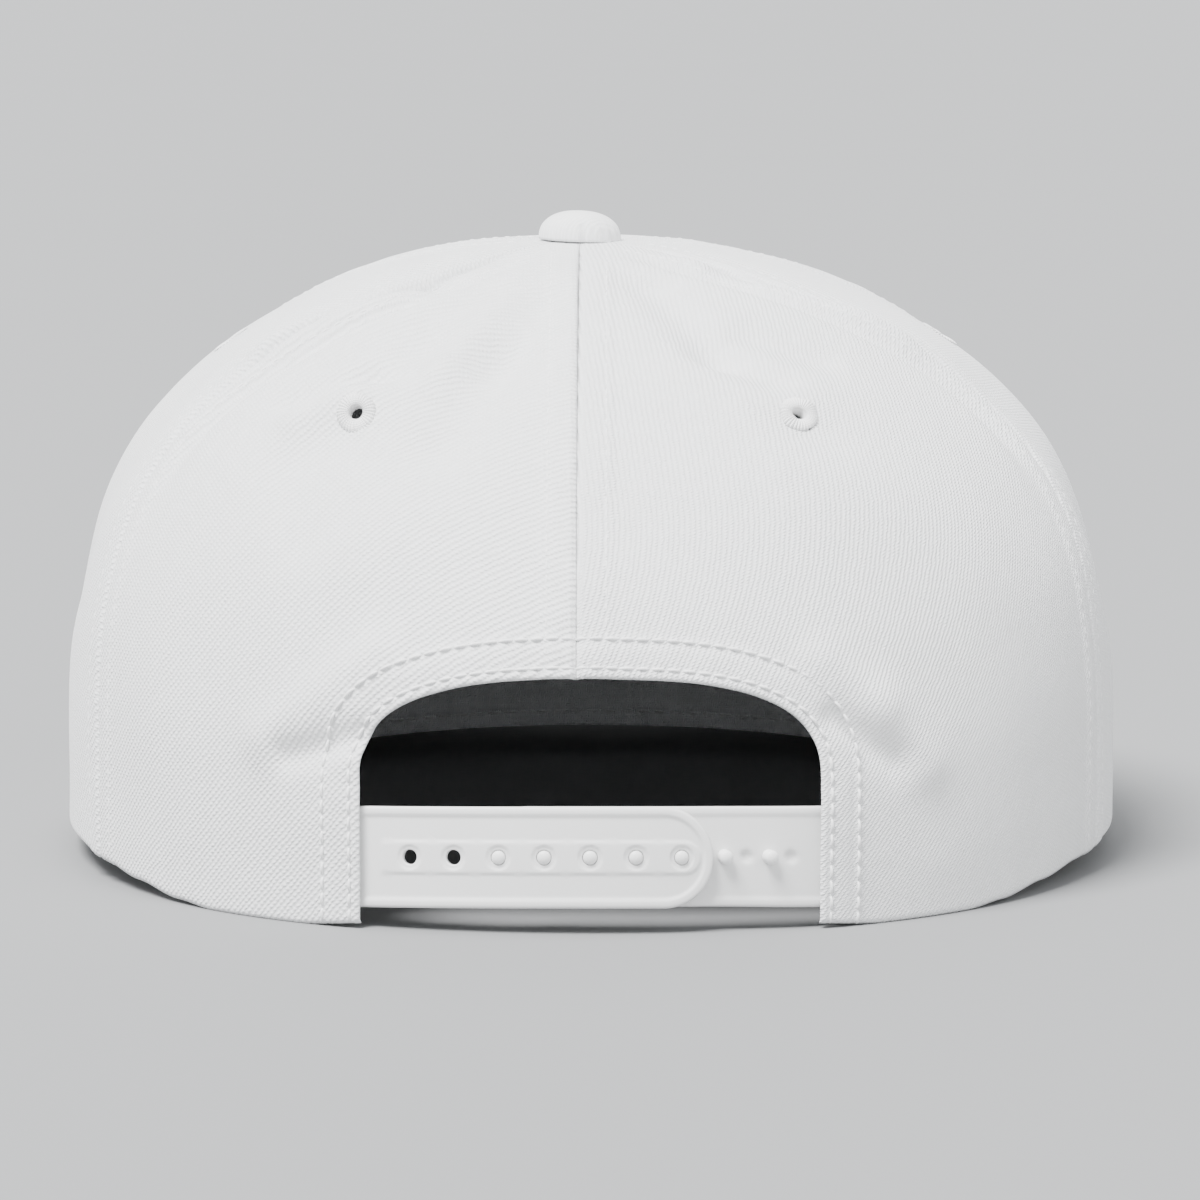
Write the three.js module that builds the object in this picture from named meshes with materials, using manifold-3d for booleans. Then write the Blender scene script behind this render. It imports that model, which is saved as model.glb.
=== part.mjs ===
// Snapback cap.
// A six panel crown with stitched eyelets and a covered button, a flat peak, a sweatband,
// and a moulded strap of two halves that close with pegs in an arched opening.
// Millimetres, +Z up. The peak points to -Y, the opening to +Y, and the wearer's left is +X.
// The cap rests on the plane Z = 0 by the back of its rim and the two sides of its peak.

import * as THREE from 'three';
import { mergeVertices } from 'three/addons/utils/BufferGeometryUtils.js';
import Module from 'manifold-3d';

const wasm = await Module();
wasm.setup();

// Driving dimensions of the crown
const crownHalfWidth = 96;
const crownBackReach = 110.4;
const crownFrontReach = 97;
const crownHeight = 109.7;
const clothThickness = 1.6;
const sideRimLift = 4.6;
const buttonShift = 2;
const seamGap = 0.3;
const seamBandWidth = 5.4;
const seamBandRise = 0.45;
const foldWidth = 13;
const foldDepth = 1.6;

// Shares of a seam's band at which its rise is full, begins to fall and is gone,
// and the largest share of a panel's width that a band takes up
const seamBandFull = 0.25;
const seamBandFalls = 1;
const seamBandGone = 1.5;
const seamBandLargest = 0.22;

// Shares of the way up between which raised forms fade out above the rim and below the button
const hemPlainTo = 0.19;
const hemFullFrom = 0.27;
const buttonFullTo = 0.84;
const buttonPlainFrom = 0.9;

// Length of the cloth from rim to button, as a share of the crown's height and reach together
const clothBulge = 0.8;

// Turns in degrees over which the rim climbs onto the peak, before the peak's corner
const rimClimbsFrom = 26;
const rimClimbsTo = 2;

// Turns in degrees past the tucked strap over which the sweatband eases back to the cloth
const sweatbandEasesFrom = 3;
const sweatbandEasesTo = 14;

// Driving dimensions of the arched opening
const archHalfWidth = 38.6;
const archHeight = 42.4;
const archCrownDepth = 17.5;
const archSquareness = 2.65;

// Driving dimensions of the button and the eyelets
const buttonRadius = 7.5;
const buttonHeight = 5.2;
const buttonStemRadius = 3.3;
const buttonWasherRadius = 5.6;
const buttonWasherThickness = 0.8;
const eyeletRadius = 3.3;
const eyeletHoleRadius = 1.1;
const eyeletBarrelRadius = 2;
const eyeletRise = 0.7;

// Driving dimensions of the peak
const peakHalfWidth = 92.5;
const peakLength = 70;
const peakThickness = 3.4;
const peakCurveRadius = 720;
const peakSquareness = 2.5;
const peakWidestForward = 58.2;
const peakCornerReach = 14;
const peakCornerTurn = 121;
const peakCornerAngle = 115;

// Driving dimensions of the sweatband
const sweatbandHeight = 30;
const sweatbandThickness = 1.2;
const sweatbandSetback = 5;

// Driving dimensions of the strap
const strapHeight = 17.2;
const strapRimClearance = 3.5;
const strapArch = 1;
const strapThickness = 1.2;
const strapHoleRadius = 1.35;
const strapPitch = 7.8;
const strapHoleCount = 7;
const strapEngagedPegs = 5;
const strapFreePegs = 2;
const strapTuck = 10;
const pegProud = 0.5;
const fitClearance = 0.3;

// Share of the strap's height that is left between its last hole and its round end
const strapEndShare = 0.3;

// Roundness of the crown in plan, and of its upright sections outwards and upwards.
// Two is an ellipse, and a higher number is squarer.
const roundness = {
  back: { plan: 2.14, out: 1.6, up: 2.55 },
  side: { plan: 2.2, out: 1.8, up: 3.67 },
  front: { plan: 2.28, out: 2.8, up: 4.2 },
};

// Lift of the rim off the plane, as a share of sideRimLift, by the turn from the back in degrees.
const rimLifts = [
  { turn: 0, lift: 0.2 },
  { turn: 20, lift: 0.2 },
  { turn: 27, lift: 0 },
  { turn: 37, lift: 0 },
  { turn: 42, lift: 0.16 },
  { turn: 49, lift: 0.5 },
  { turn: 57, lift: 0.8 },
  { turn: 68, lift: 0.97 },
  { turn: 90, lift: 1 },
];

// Turn of each seam from the back in degrees, at the rim. Wander says how far it leans above it.
const seams = {
  back: { turn: 1.2, wander: 0 },
  left: { turn: 58, wander: 1 },
  frontLeft: { turn: 120, wander: 0 },
  front: { turn: 180, wander: 0 },
  frontRight: { turn: 240, wander: 0 },
  right: { turn: 297, wander: -1 },
  backAgain: { turn: 361.2, wander: 0 },
};

// Lean of a wandering seam in degrees, by the share of the way up from the rim to the button.
const seamWander = [
  { up: 0, lean: 0 },
  { up: 0.45, lean: 3.5 },
  { up: 1, lean: -12 },
];

// Panels of the crown, by the seams that they run between, with their columns of facets.
const panels = [
  { name: 'crown_back_left', from: 'back', to: 'left', columns: 15, arched: true },
  { name: 'crown_side_left', from: 'left', to: 'frontLeft', columns: 13 },
  { name: 'crown_front_left', from: 'frontLeft', to: 'front', columns: 13 },
  { name: 'crown_front_right', from: 'front', to: 'frontRight', columns: 13 },
  { name: 'crown_side_right', from: 'frontRight', to: 'right', columns: 13 },
  { name: 'crown_back_right', from: 'right', to: 'backAgain', columns: 15, arched: true },
];

// Eyelets, by their panel, their turn from the back in degrees and their share of the way up.
const eyelets = [
  { name: 'eyelet_back_left', panel: 'crown_back_left', turn: 31.8, up: 0.548 },
  { name: 'eyelet_side_left', panel: 'crown_side_left', turn: 90, up: 0.6 },
  { name: 'eyelet_front_left', panel: 'crown_front_left', turn: 150, up: 0.6 },
  { name: 'eyelet_front_right', panel: 'crown_front_right', turn: 210, up: 0.6 },
  { name: 'eyelet_side_right', panel: 'crown_side_right', turn: 270, up: 0.6 },
  { name: 'eyelet_back_right', panel: 'crown_back_right', turn: 331.2, up: 0.544 },
];

// Soft folds of the cloth. Each runs from one place to another, given by turn in degrees and share
// of the way up. Wide is a share of foldWidth, and rise is a share of foldDepth, below 0 in a valley.
const folds = [
  { fromTurn: 11, fromUp: 0.8, toTurn: 17, toUp: 0.54, wide: 0.8, rise: -1 },
  { fromTurn: 24, fromUp: 0.82, toTurn: 31, toUp: 0.64, wide: 0.6, rise: -0.7 },
  { fromTurn: 43, fromUp: 0.53, toTurn: 31, toUp: 0.63, wide: 0.6, rise: -0.5 },
  { fromTurn: 42, fromUp: 0.46, toTurn: 28, toUp: 0.4, wide: 1.2, rise: 0.6 },
  { fromTurn: 339, fromUp: 0.8, toTurn: 334, toUp: 0.63, wide: 0.8, rise: -0.9 },
  { fromTurn: 328, fromUp: 0.69, toTurn: 320, toUp: 0.63, wide: 0.7, rise: -0.6 },
  { fromTurn: 330, fromUp: 0.44, toTurn: 318, toUp: 0.36, wide: 1.2, rise: 0.5 },
  { fromTurn: 30, fromUp: 0.2, toTurn: 21, toUp: 0.21, wide: 0.6, rise: -0.6 },
  { fromTurn: 32, fromUp: 0.18, toTurn: 20, toUp: 0.27, wide: 0.8, rise: 0.6 },
  { fromTurn: 338, fromUp: 0.21, toTurn: 331, toUp: 0.18, wide: 0.6, rise: -0.6 },
  { fromTurn: 338, fromUp: 0.27, toTurn: 328, toUp: 0.15, wide: 0.8, rise: 0.6 },
  { fromTurn: 75, fromUp: 0.5, toTurn: 82, toUp: 0.3, wide: 1.1, rise: -0.5 },
  { fromTurn: 284, fromUp: 0.5, toTurn: 277, toUp: 0.3, wide: 1.1, rise: -0.5 },
];

// Section of the peak from the crown to its edge. Out is the share of the way to the edge,
// and thick is a share of peakThickness, less where the edge is turned over.
const peakSection = [
  { out: 0, thick: 1 },
  { out: 0.3, thick: 1 },
  { out: 0.62, thick: 1 },
  { out: 0.88, thick: 1 },
  { out: 0.985, thick: 0.9 },
  { out: 1, thick: 0.4 },
];

// Materials
const cloth = new THREE.MeshStandardMaterial({ color: 0xf1f2f3, roughness: 0.9, metalness: 0 });
const thread = new THREE.MeshStandardMaterial({ color: 0xf4f4f4, roughness: 0.75, metalness: 0 });
const plastic = new THREE.MeshStandardMaterial({ color: 0xe6e6e6, roughness: 0.4, metalness: 0 });

// How finely the round shapes are divided
const panelRows = 18;
const lengthSamples = 60;
const roundSides = 20;
const eyeletSides = 12;
const pegSides = 10;
const domeSteps = 6;
const archSteps = 16;
const peakColumns = 30;
const sweatbandColumns = 40;
const strapColumns = 20;
const strapEndSteps = 5;

const degree = Math.PI / 180;
const tipRadius = buttonStemRadius + fitClearance;
const strapInset = clothThickness + fitClearance;
const strapStep = strapThickness + fitClearance;

const group = new THREE.Group();

function mix(a, b, share) {
  return a + (b - a) * share;
}

function smoothStep(low, high, value) {
  const share = Math.min(Math.max((value - low) / (high - low), 0), 1);
  return share * share * (3 - 2 * share);
}

// Value of one column of a table at a place between its rows
function tableAt(table, placeKey, valueKey, place) {
  const last = table.length - 1;
  const next = Math.max(1, table.findIndex((row) => row[placeKey] >= place));
  const row = place >= table[last][placeKey] ? last : next;
  const before = table[row - 1];
  const after = table[row];
  const share = smoothStep(before[placeKey], after[placeKey], place);
  return mix(before[valueKey], after[valueKey], share);
}

// Shape of the crown

function roundnessAt(turn, key) {
  const towards = Math.cos(turn);
  const end = towards > 0 ? roundness.back[key] : roundness.front[key];
  return mix(roundness.side[key], end, towards * towards);
}

// Distance from the crown's axis to the outside of its rim
function planReach(turn) {
  const power = roundnessAt(turn, 'plan');
  const lengthwise = Math.cos(turn) > 0 ? crownBackReach : crownFrontReach;
  const across = Math.abs(Math.sin(turn)) / crownHalfWidth;
  const along = Math.abs(Math.cos(turn)) / lengthwise;
  return (across ** power + along ** power) ** (-1 / power);
}

// Height of the peak's underside, which arches up from its two sides
function peakCamber(x) {
  return Math.max(peakHalfWidth ** 2 - x ** 2, 0) / (2 * peakCurveRadius);
}

// Angle from the back, whichever way round it is measured
function turnFromBack(turn) {
  return Math.acos(Math.cos(turn)) / degree;
}

// Share of the front of the rim that stands on the peak: 0 at the temples and 1 over the peak
function overPeak(turn) {
  return smoothStep(peakCornerTurn - rimClimbsFrom, peakCornerTurn - rimClimbsTo, turnFromBack(turn));
}

function rimHeight(turn) {
  const free = sideRimLift * tableAt(rimLifts, 'turn', 'lift', turnFromBack(turn));
  const seated = peakCamber(planReach(turn) * Math.sin(turn)) + peakThickness + seamGap;
  return mix(free, seated, overPeak(turn));
}

// Height of the sweatband's lower edge, which hides the root of the peak
function sweatbandFoot(turn) {
  const free = sideRimLift * tableAt(rimLifts, 'turn', 'lift', turnFromBack(turn));
  return mix(free, peakCamber(planReach(turn) * Math.sin(turn)), overPeak(turn));
}

// Point of the outside of the crown. Climb is 0 at the rim and a right angle at the very top.
function crownAtClimb(turn, climb) {
  const out = Math.cos(climb) ** (2 / roundnessAt(turn, 'out'));
  const up = Math.sin(climb) ** (2 / roundnessAt(turn, 'up'));
  const reach = planReach(turn) * out;
  return new THREE.Vector3(
    reach * Math.sin(turn) + buttonShift * (1 - out),
    reach * Math.cos(turn),
    mix(rimHeight(turn), crownHeight, up),
  );
}

// Climb at the edge of the hole that the button's stem passes through
function tipClimb(turn) {
  return Math.acos((tipRadius / planReach(turn)) ** (roundnessAt(turn, 'out') / 2));
}

// Climb at a share of the length of the cloth from the rim to the tip
function climbAt(turn, share) {
  const top = tipClimb(turn);
  const climbs = [];
  const lengths = [0];
  for (let i = 0; i <= lengthSamples; i += 1) {
    climbs.push(top * (i / lengthSamples) ** 2);
  }
  let before = crownAtClimb(turn, climbs[0]);
  for (let i = 1; i <= lengthSamples; i += 1) {
    const point = crownAtClimb(turn, climbs[i]);
    lengths.push(lengths[i - 1] + point.distanceTo(before));
    before = point;
  }
  const wanted = share * lengths[lengthSamples];
  const next = Math.min(Math.max(lengths.findIndex((length) => length >= wanted), 1), lengthSamples);
  const part = (wanted - lengths[next - 1]) / (lengths[next] - lengths[next - 1]);
  return mix(climbs[next - 1], climbs[next], part);
}

function crownAtShare(turn, share) {
  return crownAtClimb(turn, climbAt(turn, share));
}

// Point of the outside of the crown at a height, straight down below the rim
function crownAtHeight(turn, height) {
  const rim = rimHeight(turn);
  const up = Math.max((height - rim) / (crownHeight - rim), 0);
  const point = crownAtClimb(turn, Math.asin(up ** (roundnessAt(turn, 'up') / 2)));
  point.z = height;
  return point;
}

// Outward direction of a surface given by a function of two values
function normalOf(surface, first, second, firstStep, secondStep) {
  const across = surface(first + firstStep, second).sub(surface(first - firstStep, second));
  const along = surface(first, second + secondStep).sub(surface(first, second));
  const normal = along.cross(across).normalize();
  const outwards = surface(first, second);
  outwards.x -= buttonShift;
  return normal.dot(outwards) < 0 ? normal.negate() : normal;
}

function crownNormal(turn, share) {
  const turnStep = 0.01;
  const shareStep = share > 0.9 ? -0.02 : 0.02;
  return normalOf(crownAtShare, turn, share, turnStep, shareStep);
}

// Point at a height, set in from the outside of the crown
function insideCrown(turn, height, inset) {
  const turnStep = 0.01;
  const heightStep = clothThickness / 2;
  const normal = normalOf(crownAtHeight, turn, height, turnStep, heightStep);
  return crownAtHeight(turn, height).addScaledVector(normal, -inset);
}

function seamTurn(seam, share) {
  const lean = seam.wander * tableAt(seamWander, 'up', 'lean', share);
  return (seam.turn + lean) * degree;
}

// Share of a raised form that is left at a place: the cloth lies plain under the button
function awayFromButton(share) {
  return 1 - smoothStep(buttonFullTo, buttonPlainFrom, share);
}

// Share of a fold that is left at a place: the rim is plain where the sweatband and the strap lie
function awayFromHem(share) {
  return smoothStep(hemPlainTo, hemFullFrom, share);
}

// Height of the soft folds at a place on the crown
function foldRise(turn, share) {
  const point = crownAtShare(turn, share);
  const reach = Math.hypot(point.x - buttonShift, point.y);
  const length = (crownHeight + planReach(turn)) * clothBulge;
  const onCloth = (foldTurn, up) => {
    const across = (foldTurn * degree - turn) * reach;
    return new THREE.Vector2(across, (up - share) * length);
  };
  let rise = 0;
  for (const fold of folds) {
    const start = onCloth(fold.fromTurn, fold.fromUp);
    const end = onCloth(fold.toTurn, fold.toUp);
    const run = end.clone().sub(start);
    const nearest = Math.min(Math.max(-start.dot(run) / run.lengthSq(), 0), 1);
    const away = start.addScaledVector(run, nearest).length() / (fold.wide * foldWidth);
    rise += fold.rise * foldDepth * Math.exp(-away * away);
  }
  return rise * awayFromHem(share) * awayFromButton(share);
}

// Solids

function merged(geometry) {
  geometry.deleteAttribute('normal');
  geometry.deleteAttribute('uv');
  return mergeVertices(geometry, 1e-4);
}

// Closed solid between an outer and an inner grid of points, both as columns of rows
function wallBetween(outer, inner) {
  const columns = outer.length;
  const rows = outer[0].length;
  const points = [...outer.flat(), ...inner.flat()];
  const at = (side, column, row) => (side * columns + column) * rows + row;
  const faces = [];
  const quad = (a, b, c, d) => faces.push(a, b, c, a, c, d);
  for (let i = 0; i < columns - 1; i += 1) {
    for (let j = 0; j < rows - 1; j += 1) {
      quad(at(0, i, j), at(0, i + 1, j), at(0, i + 1, j + 1), at(0, i, j + 1));
      quad(at(1, i, j), at(1, i, j + 1), at(1, i + 1, j + 1), at(1, i + 1, j));
    }
    quad(at(0, i, 0), at(1, i, 0), at(1, i + 1, 0), at(0, i + 1, 0));
    quad(at(0, i, rows - 1), at(0, i + 1, rows - 1), at(1, i + 1, rows - 1), at(1, i, rows - 1));
  }
  for (let j = 0; j < rows - 1; j += 1) {
    quad(at(0, 0, j), at(0, 0, j + 1), at(1, 0, j + 1), at(1, 0, j));
    const last = columns - 1;
    quad(at(0, last, j), at(1, last, j), at(1, last, j + 1), at(0, last, j + 1));
  }
  const geometry = new THREE.BufferGeometry();
  const places = points.flatMap((point) => point.toArray());
  geometry.setAttribute('position', new THREE.Float32BufferAttribute(places, 3));
  geometry.setIndex(faces);
  if (signedVolume(geometry) < 0) {
    geometry.setIndex(faces.reverse());
  }
  return geometry;
}

function signedVolume(geometry) {
  const { attributes, index } = geometry;
  const corner = (i) => new THREE.Vector3().fromBufferAttribute(attributes.position, index.getX(i));
  let volume = 0;
  for (let i = 0; i < index.count; i += 3) {
    volume += corner(i).dot(corner(i + 1).cross(corner(i + 2)));
  }
  return volume;
}

function toSolid(geometry) {
  const mesh = new wasm.Mesh({
    numProp: 3,
    vertProperties: new Float32Array(geometry.attributes.position.array),
    triVerts: new Uint32Array(geometry.index.array),
  });
  return new wasm.Manifold(mesh);
}

function toGeometry(solid) {
  const mesh = solid.getMesh();
  const geometry = new THREE.BufferGeometry();
  geometry.setAttribute('position', new THREE.BufferAttribute(new Float32Array(mesh.vertProperties), 3));
  geometry.setIndex(new THREE.BufferAttribute(new Uint32Array(mesh.triVerts), 1));
  return geometry;
}

function addMesh(name, geometry, material) {
  const mesh = new THREE.Mesh(geometry, material);
  mesh.name = name;
  group.add(mesh);
  return mesh;
}

// Round bar along a direction, as a solid
function bar(centre, direction, radius, length, sides) {
  const geometry = merged(new THREE.CylinderGeometry(radius, radius, length, sides));
  geometry.applyQuaternion(new THREE.Quaternion().setFromUnitVectors(new THREE.Vector3(0, 1, 0), direction));
  geometry.translate(centre.x, centre.y, centre.z);
  return toSolid(geometry);
}

// Outline of the arched opening seen from the back, as a solid bar through the back wall
function archCutter() {
  const legs = archHeight - archCrownDepth;
  const outline = [new THREE.Vector2(archHalfWidth, -clothThickness)];
  for (let i = 0; i <= archSteps; i += 1) {
    const angle = (i / archSteps) * Math.PI;
    const across = Math.sign(Math.cos(angle)) * Math.abs(Math.cos(angle)) ** (2 / archSquareness);
    const up = Math.sin(angle) ** (2 / archSquareness);
    outline.push(new THREE.Vector2(archHalfWidth * across, legs + archCrownDepth * up));
  }
  outline.push(new THREE.Vector2(-archHalfWidth, -clothThickness));
  const depth = crownBackReach;
  const geometry = new THREE.ExtrudeGeometry(new THREE.Shape(outline), { depth, bevelEnabled: false });
  geometry.rotateX(Math.PI / 2);
  geometry.translate(0, depth + crownBackReach / 2, 0);
  return toSolid(merged(geometry));
}

// Place of an eyelet's middle on the outside of the cloth, and its outward direction
function eyeletSeat(eyelet) {
  const turn = eyelet.turn * degree;
  const normal = crownNormal(turn, eyelet.up);
  const centre = crownAtShare(turn, eyelet.up).addScaledVector(normal, foldRise(turn, eyelet.up));
  return { centre, normal };
}

// Turns of a panel's columns at one height, closer together in the raised bands by its seams
function panelColumns(panel, share) {
  const bandStops = [0, seamBandFull, seamBandFalls, seamBandGone];
  const middle = (seamTurn(seams[panel.from], share) + seamTurn(seams[panel.to], share)) / 2;
  const point = crownAtShare(middle, share);
  const reach = Math.hypot(point.x - buttonShift, point.y);
  const start = seamTurn(seams[panel.from], share) + seamGap / 2 / reach;
  const end = seamTurn(seams[panel.to], share) - seamGap / 2 / reach;
  const band = Math.min(seamBandWidth / reach, (end - start) * seamBandLargest);
  const inner = panel.columns - 2 * (bandStops.length - 1);
  const columns = bandStops.map((stop) => ({ turn: start + stop * band, stop }));
  const plainStart = start + bandStops.at(-1) * band;
  const plainEnd = end - bandStops.at(-1) * band;
  for (let i = 1; i < inner; i += 1) {
    columns.push({ turn: mix(plainStart, plainEnd, i / inner), stop: bandStops.at(-1) });
  }
  for (const stop of bandStops.toReversed()) {
    columns.push({ turn: end - stop * band, stop });
  }
  return columns;
}

// The seam allowance raises a band on each side of a seam, which fades out under the button
function bandRise(stop, share) {
  const profile = smoothStep(0, seamBandFull, stop) * (1 - smoothStep(seamBandFalls, seamBandGone, stop));
  return seamBandRise * profile * awayFromButton(share);
}

function panelWall(panel) {
  const outer = Array.from({ length: panel.columns + 1 }, () => []);
  const inner = Array.from({ length: panel.columns + 1 }, () => []);
  for (let j = 0; j <= panelRows; j += 1) {
    const share = j / panelRows;
    panelColumns(panel, share).forEach(({ turn, stop }, i) => {
      const normal = crownNormal(turn, share);
      const rise = foldRise(turn, share) + bandRise(stop, share);
      const point = crownAtShare(turn, share).addScaledVector(normal, rise);
      const under = point.clone().addScaledVector(normal, -clothThickness);
      if (j === 0) {
        under.z = point.z;
      }
      outer[i].push(point);
      inner[i].push(under);
    });
  }
  return wallBetween(outer, inner);
}

function addPanels() {
  for (const panel of panels) {
    let solid = toSolid(panelWall(panel));
    if (panel.arched) {
      solid = solid.subtract(archCutter());
    }
    for (const eyelet of eyelets.filter((row) => row.panel === panel.name)) {
      const { centre, normal } = eyeletSeat(eyelet);
      const radius = eyeletBarrelRadius + fitClearance;
      solid = solid.subtract(bar(centre, normal, radius, 4 * clothThickness, eyeletSides));
    }
    addMesh(panel.name, toGeometry(solid), cloth);
  }
}

// Worked ring with a barrel that lines the hole in the cloth
function addEyelets() {
  const shoulder = fitClearance;
  const crest = 0.3;
  const profile = [
    [eyeletHoleRadius, shoulder + eyeletRise / 2],
    [mix(eyeletHoleRadius, eyeletRadius, crest), shoulder + eyeletRise],
    [mix(eyeletRadius, eyeletHoleRadius, crest), shoulder + eyeletRise],
    [eyeletRadius, shoulder],
    [eyeletBarrelRadius, shoulder],
    [eyeletBarrelRadius, -clothThickness],
    [eyeletHoleRadius, -clothThickness],
    [eyeletHoleRadius, shoulder + eyeletRise / 2],
  ];
  const points = profile.toReversed().map(([radius, height]) => new THREE.Vector2(radius, height));
  for (const eyelet of eyelets) {
    const { centre, normal } = eyeletSeat(eyelet);
    const mesh = addMesh(eyelet.name, merged(new THREE.LatheGeometry(points, eyeletSides)), thread);
    mesh.position.copy(centre);
    mesh.quaternion.setFromUnitVectors(new THREE.Vector3(0, 1, 0), normal);
  }
}

// Covered button with its stem and the washer that holds it inside the crown
function addButton() {
  const underside = crownHeight + fitClearance;
  const washerTop = crownHeight - clothThickness - 2 * fitClearance;
  const domeSquareness = 2.5;
  const points = [new THREE.Vector2(0, washerTop - buttonWasherThickness)];
  points.push(new THREE.Vector2(buttonWasherRadius, washerTop - buttonWasherThickness));
  points.push(new THREE.Vector2(buttonWasherRadius, washerTop));
  points.push(new THREE.Vector2(buttonStemRadius, washerTop));
  points.push(new THREE.Vector2(buttonStemRadius, underside));
  for (let i = 0; i < domeSteps; i += 1) {
    const angle = (i / domeSteps) * (Math.PI / 2);
    const out = Math.cos(angle) ** (2 / domeSquareness);
    const up = Math.sin(angle) ** (2 / domeSquareness);
    points.push(new THREE.Vector2(buttonRadius * out, underside + (buttonHeight - fitClearance) * up));
  }
  points.push(new THREE.Vector2(0, crownHeight + buttonHeight));
  const mesh = addMesh('button', merged(new THREE.LatheGeometry(points, roundSides)), cloth);
  mesh.rotation.x = Math.PI / 2;
  mesh.position.x = buttonShift;
}

// Outer edge of the peak, from one corner round the front to the other
function peakEdge(angle) {
  const beyondWidest = Math.abs(angle) > Math.PI / 2;
  const power = 2 / (beyondWidest ? 2 : peakSquareness);
  const x = peakHalfWidth * Math.sign(Math.sin(angle)) * Math.abs(Math.sin(angle)) ** power;
  const forward = Math.abs(Math.cos(angle)) ** power;
  const reach = beyondWidest ? -peakCornerReach : crownFrontReach + peakLength - peakWidestForward;
  return new THREE.Vector3(x, -peakWidestForward - reach * forward, 0);
}

function addPeak() {
  const top = [];
  const bottom = [];
  for (let i = 0; i <= peakColumns; i += 1) {
    const side = 1 - (2 * i) / peakColumns;
    const turn = Math.PI - side * (Math.PI - peakCornerTurn * degree);
    const root = insideCrown(turn, rimHeight(turn), clothThickness);
    const edge = peakEdge(side * peakCornerAngle * degree);
    top.push([]);
    bottom.push([]);
    for (const { out, thick } of peakSection) {
      const point = new THREE.Vector3().lerpVectors(root, edge, out);
      const middle = peakCamber(point.x) + peakThickness / 2;
      const half = (thick * peakThickness) / 2;
      top[i].push(new THREE.Vector3(point.x, point.y, middle + half));
      bottom[i].push(new THREE.Vector3(point.x, point.y, middle - half));
    }
  }
  addMesh('peak', wallBetween(top, bottom), cloth);
}

// Band inside the rim, from behind one side of the opening round the front to the other.
// It passes behind the tucked ends of the strap.
function addSweatband() {
  const openingEnd = Math.asin(archHalfWidth / crownBackReach);
  const end = openingEnd + sweatbandSetback / crownBackReach;
  const tucked = openingEnd + strapTuck / crownBackReach;
  const easesFrom = tucked + sweatbandEasesFrom * degree;
  const easesTo = tucked + sweatbandEasesTo * degree;
  const rows = 4;
  const outer = [];
  const inner = [];
  for (let i = 0; i <= sweatbandColumns; i += 1) {
    const turn = mix(end, 2 * Math.PI - end, i / sweatbandColumns);
    const nearest = Math.min(turn, 2 * Math.PI - turn);
    const behindStrap = 1 - smoothStep(easesFrom, easesTo, nearest);
    const inset = strapInset + strapStep * behindStrap;
    outer.push([]);
    inner.push([]);
    for (let j = 0; j <= rows; j += 1) {
      const height = sweatbandFoot(turn) + (sweatbandHeight * j) / rows;
      outer[i].push(insideCrown(turn, height, inset));
      inner[i].push(insideCrown(turn, height, inset + sweatbandThickness));
    }
  }
  addMesh('sweatband', wallBetween(outer, inner), cloth);
}

// Height of the strap's middle line, which arches up a little across the opening
function strapMiddle(along) {
  const arched = strapArch * (1 - (along / archHalfWidth) ** 2);
  return strapRimClearance + strapHeight / 2 + arched;
}

// Half of the strap, from its tucked end to its round end. Places along it are measured from the
// middle of the back, towards the wearer's left, and inset says how deep its outer face lies.
function strapHalf(tuckedEnd, roundEnd, inset) {
  const radius = strapHeight / 2;
  const direction = Math.sign(roundEnd - tuckedEnd);
  const lastAngle = 83 * degree;
  const places = [];
  for (let i = 0; i <= strapColumns; i += 1) {
    places.push({ along: mix(tuckedEnd, roundEnd - direction * radius, i / strapColumns), half: radius });
  }
  for (let i = 1; i <= strapEndSteps; i += 1) {
    const angle = (i / strapEndSteps) * lastAngle;
    const along = roundEnd - direction * radius * (1 - Math.sin(angle));
    places.push({ along, half: radius * Math.cos(angle) });
  }
  const outer = [];
  const inner = [];
  for (const { along, half } of places) {
    const turn = along / crownBackReach;
    const heights = [-1, 0, 1].map((side) => strapMiddle(along) + side * half);
    outer.push(heights.map((height) => insideCrown(turn, height, inset(along))));
    inner.push(heights.map((height) => insideCrown(turn, height, inset(along) + strapThickness)));
  }
  return toSolid(wallBetween(outer, inner));
}

// Round bar square to the strap at a place along it, from one inset to another
function strapBar(along, radius, fromInset, toInset) {
  const turn = along / crownBackReach;
  const from = insideCrown(turn, strapMiddle(along), fromInset);
  const to = insideCrown(turn, strapMiddle(along), toInset);
  const direction = to.clone().sub(from);
  const length = direction.length();
  return bar(from.lerp(to, 0.5), direction.normalize(), radius, length, pegSides);
}

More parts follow.
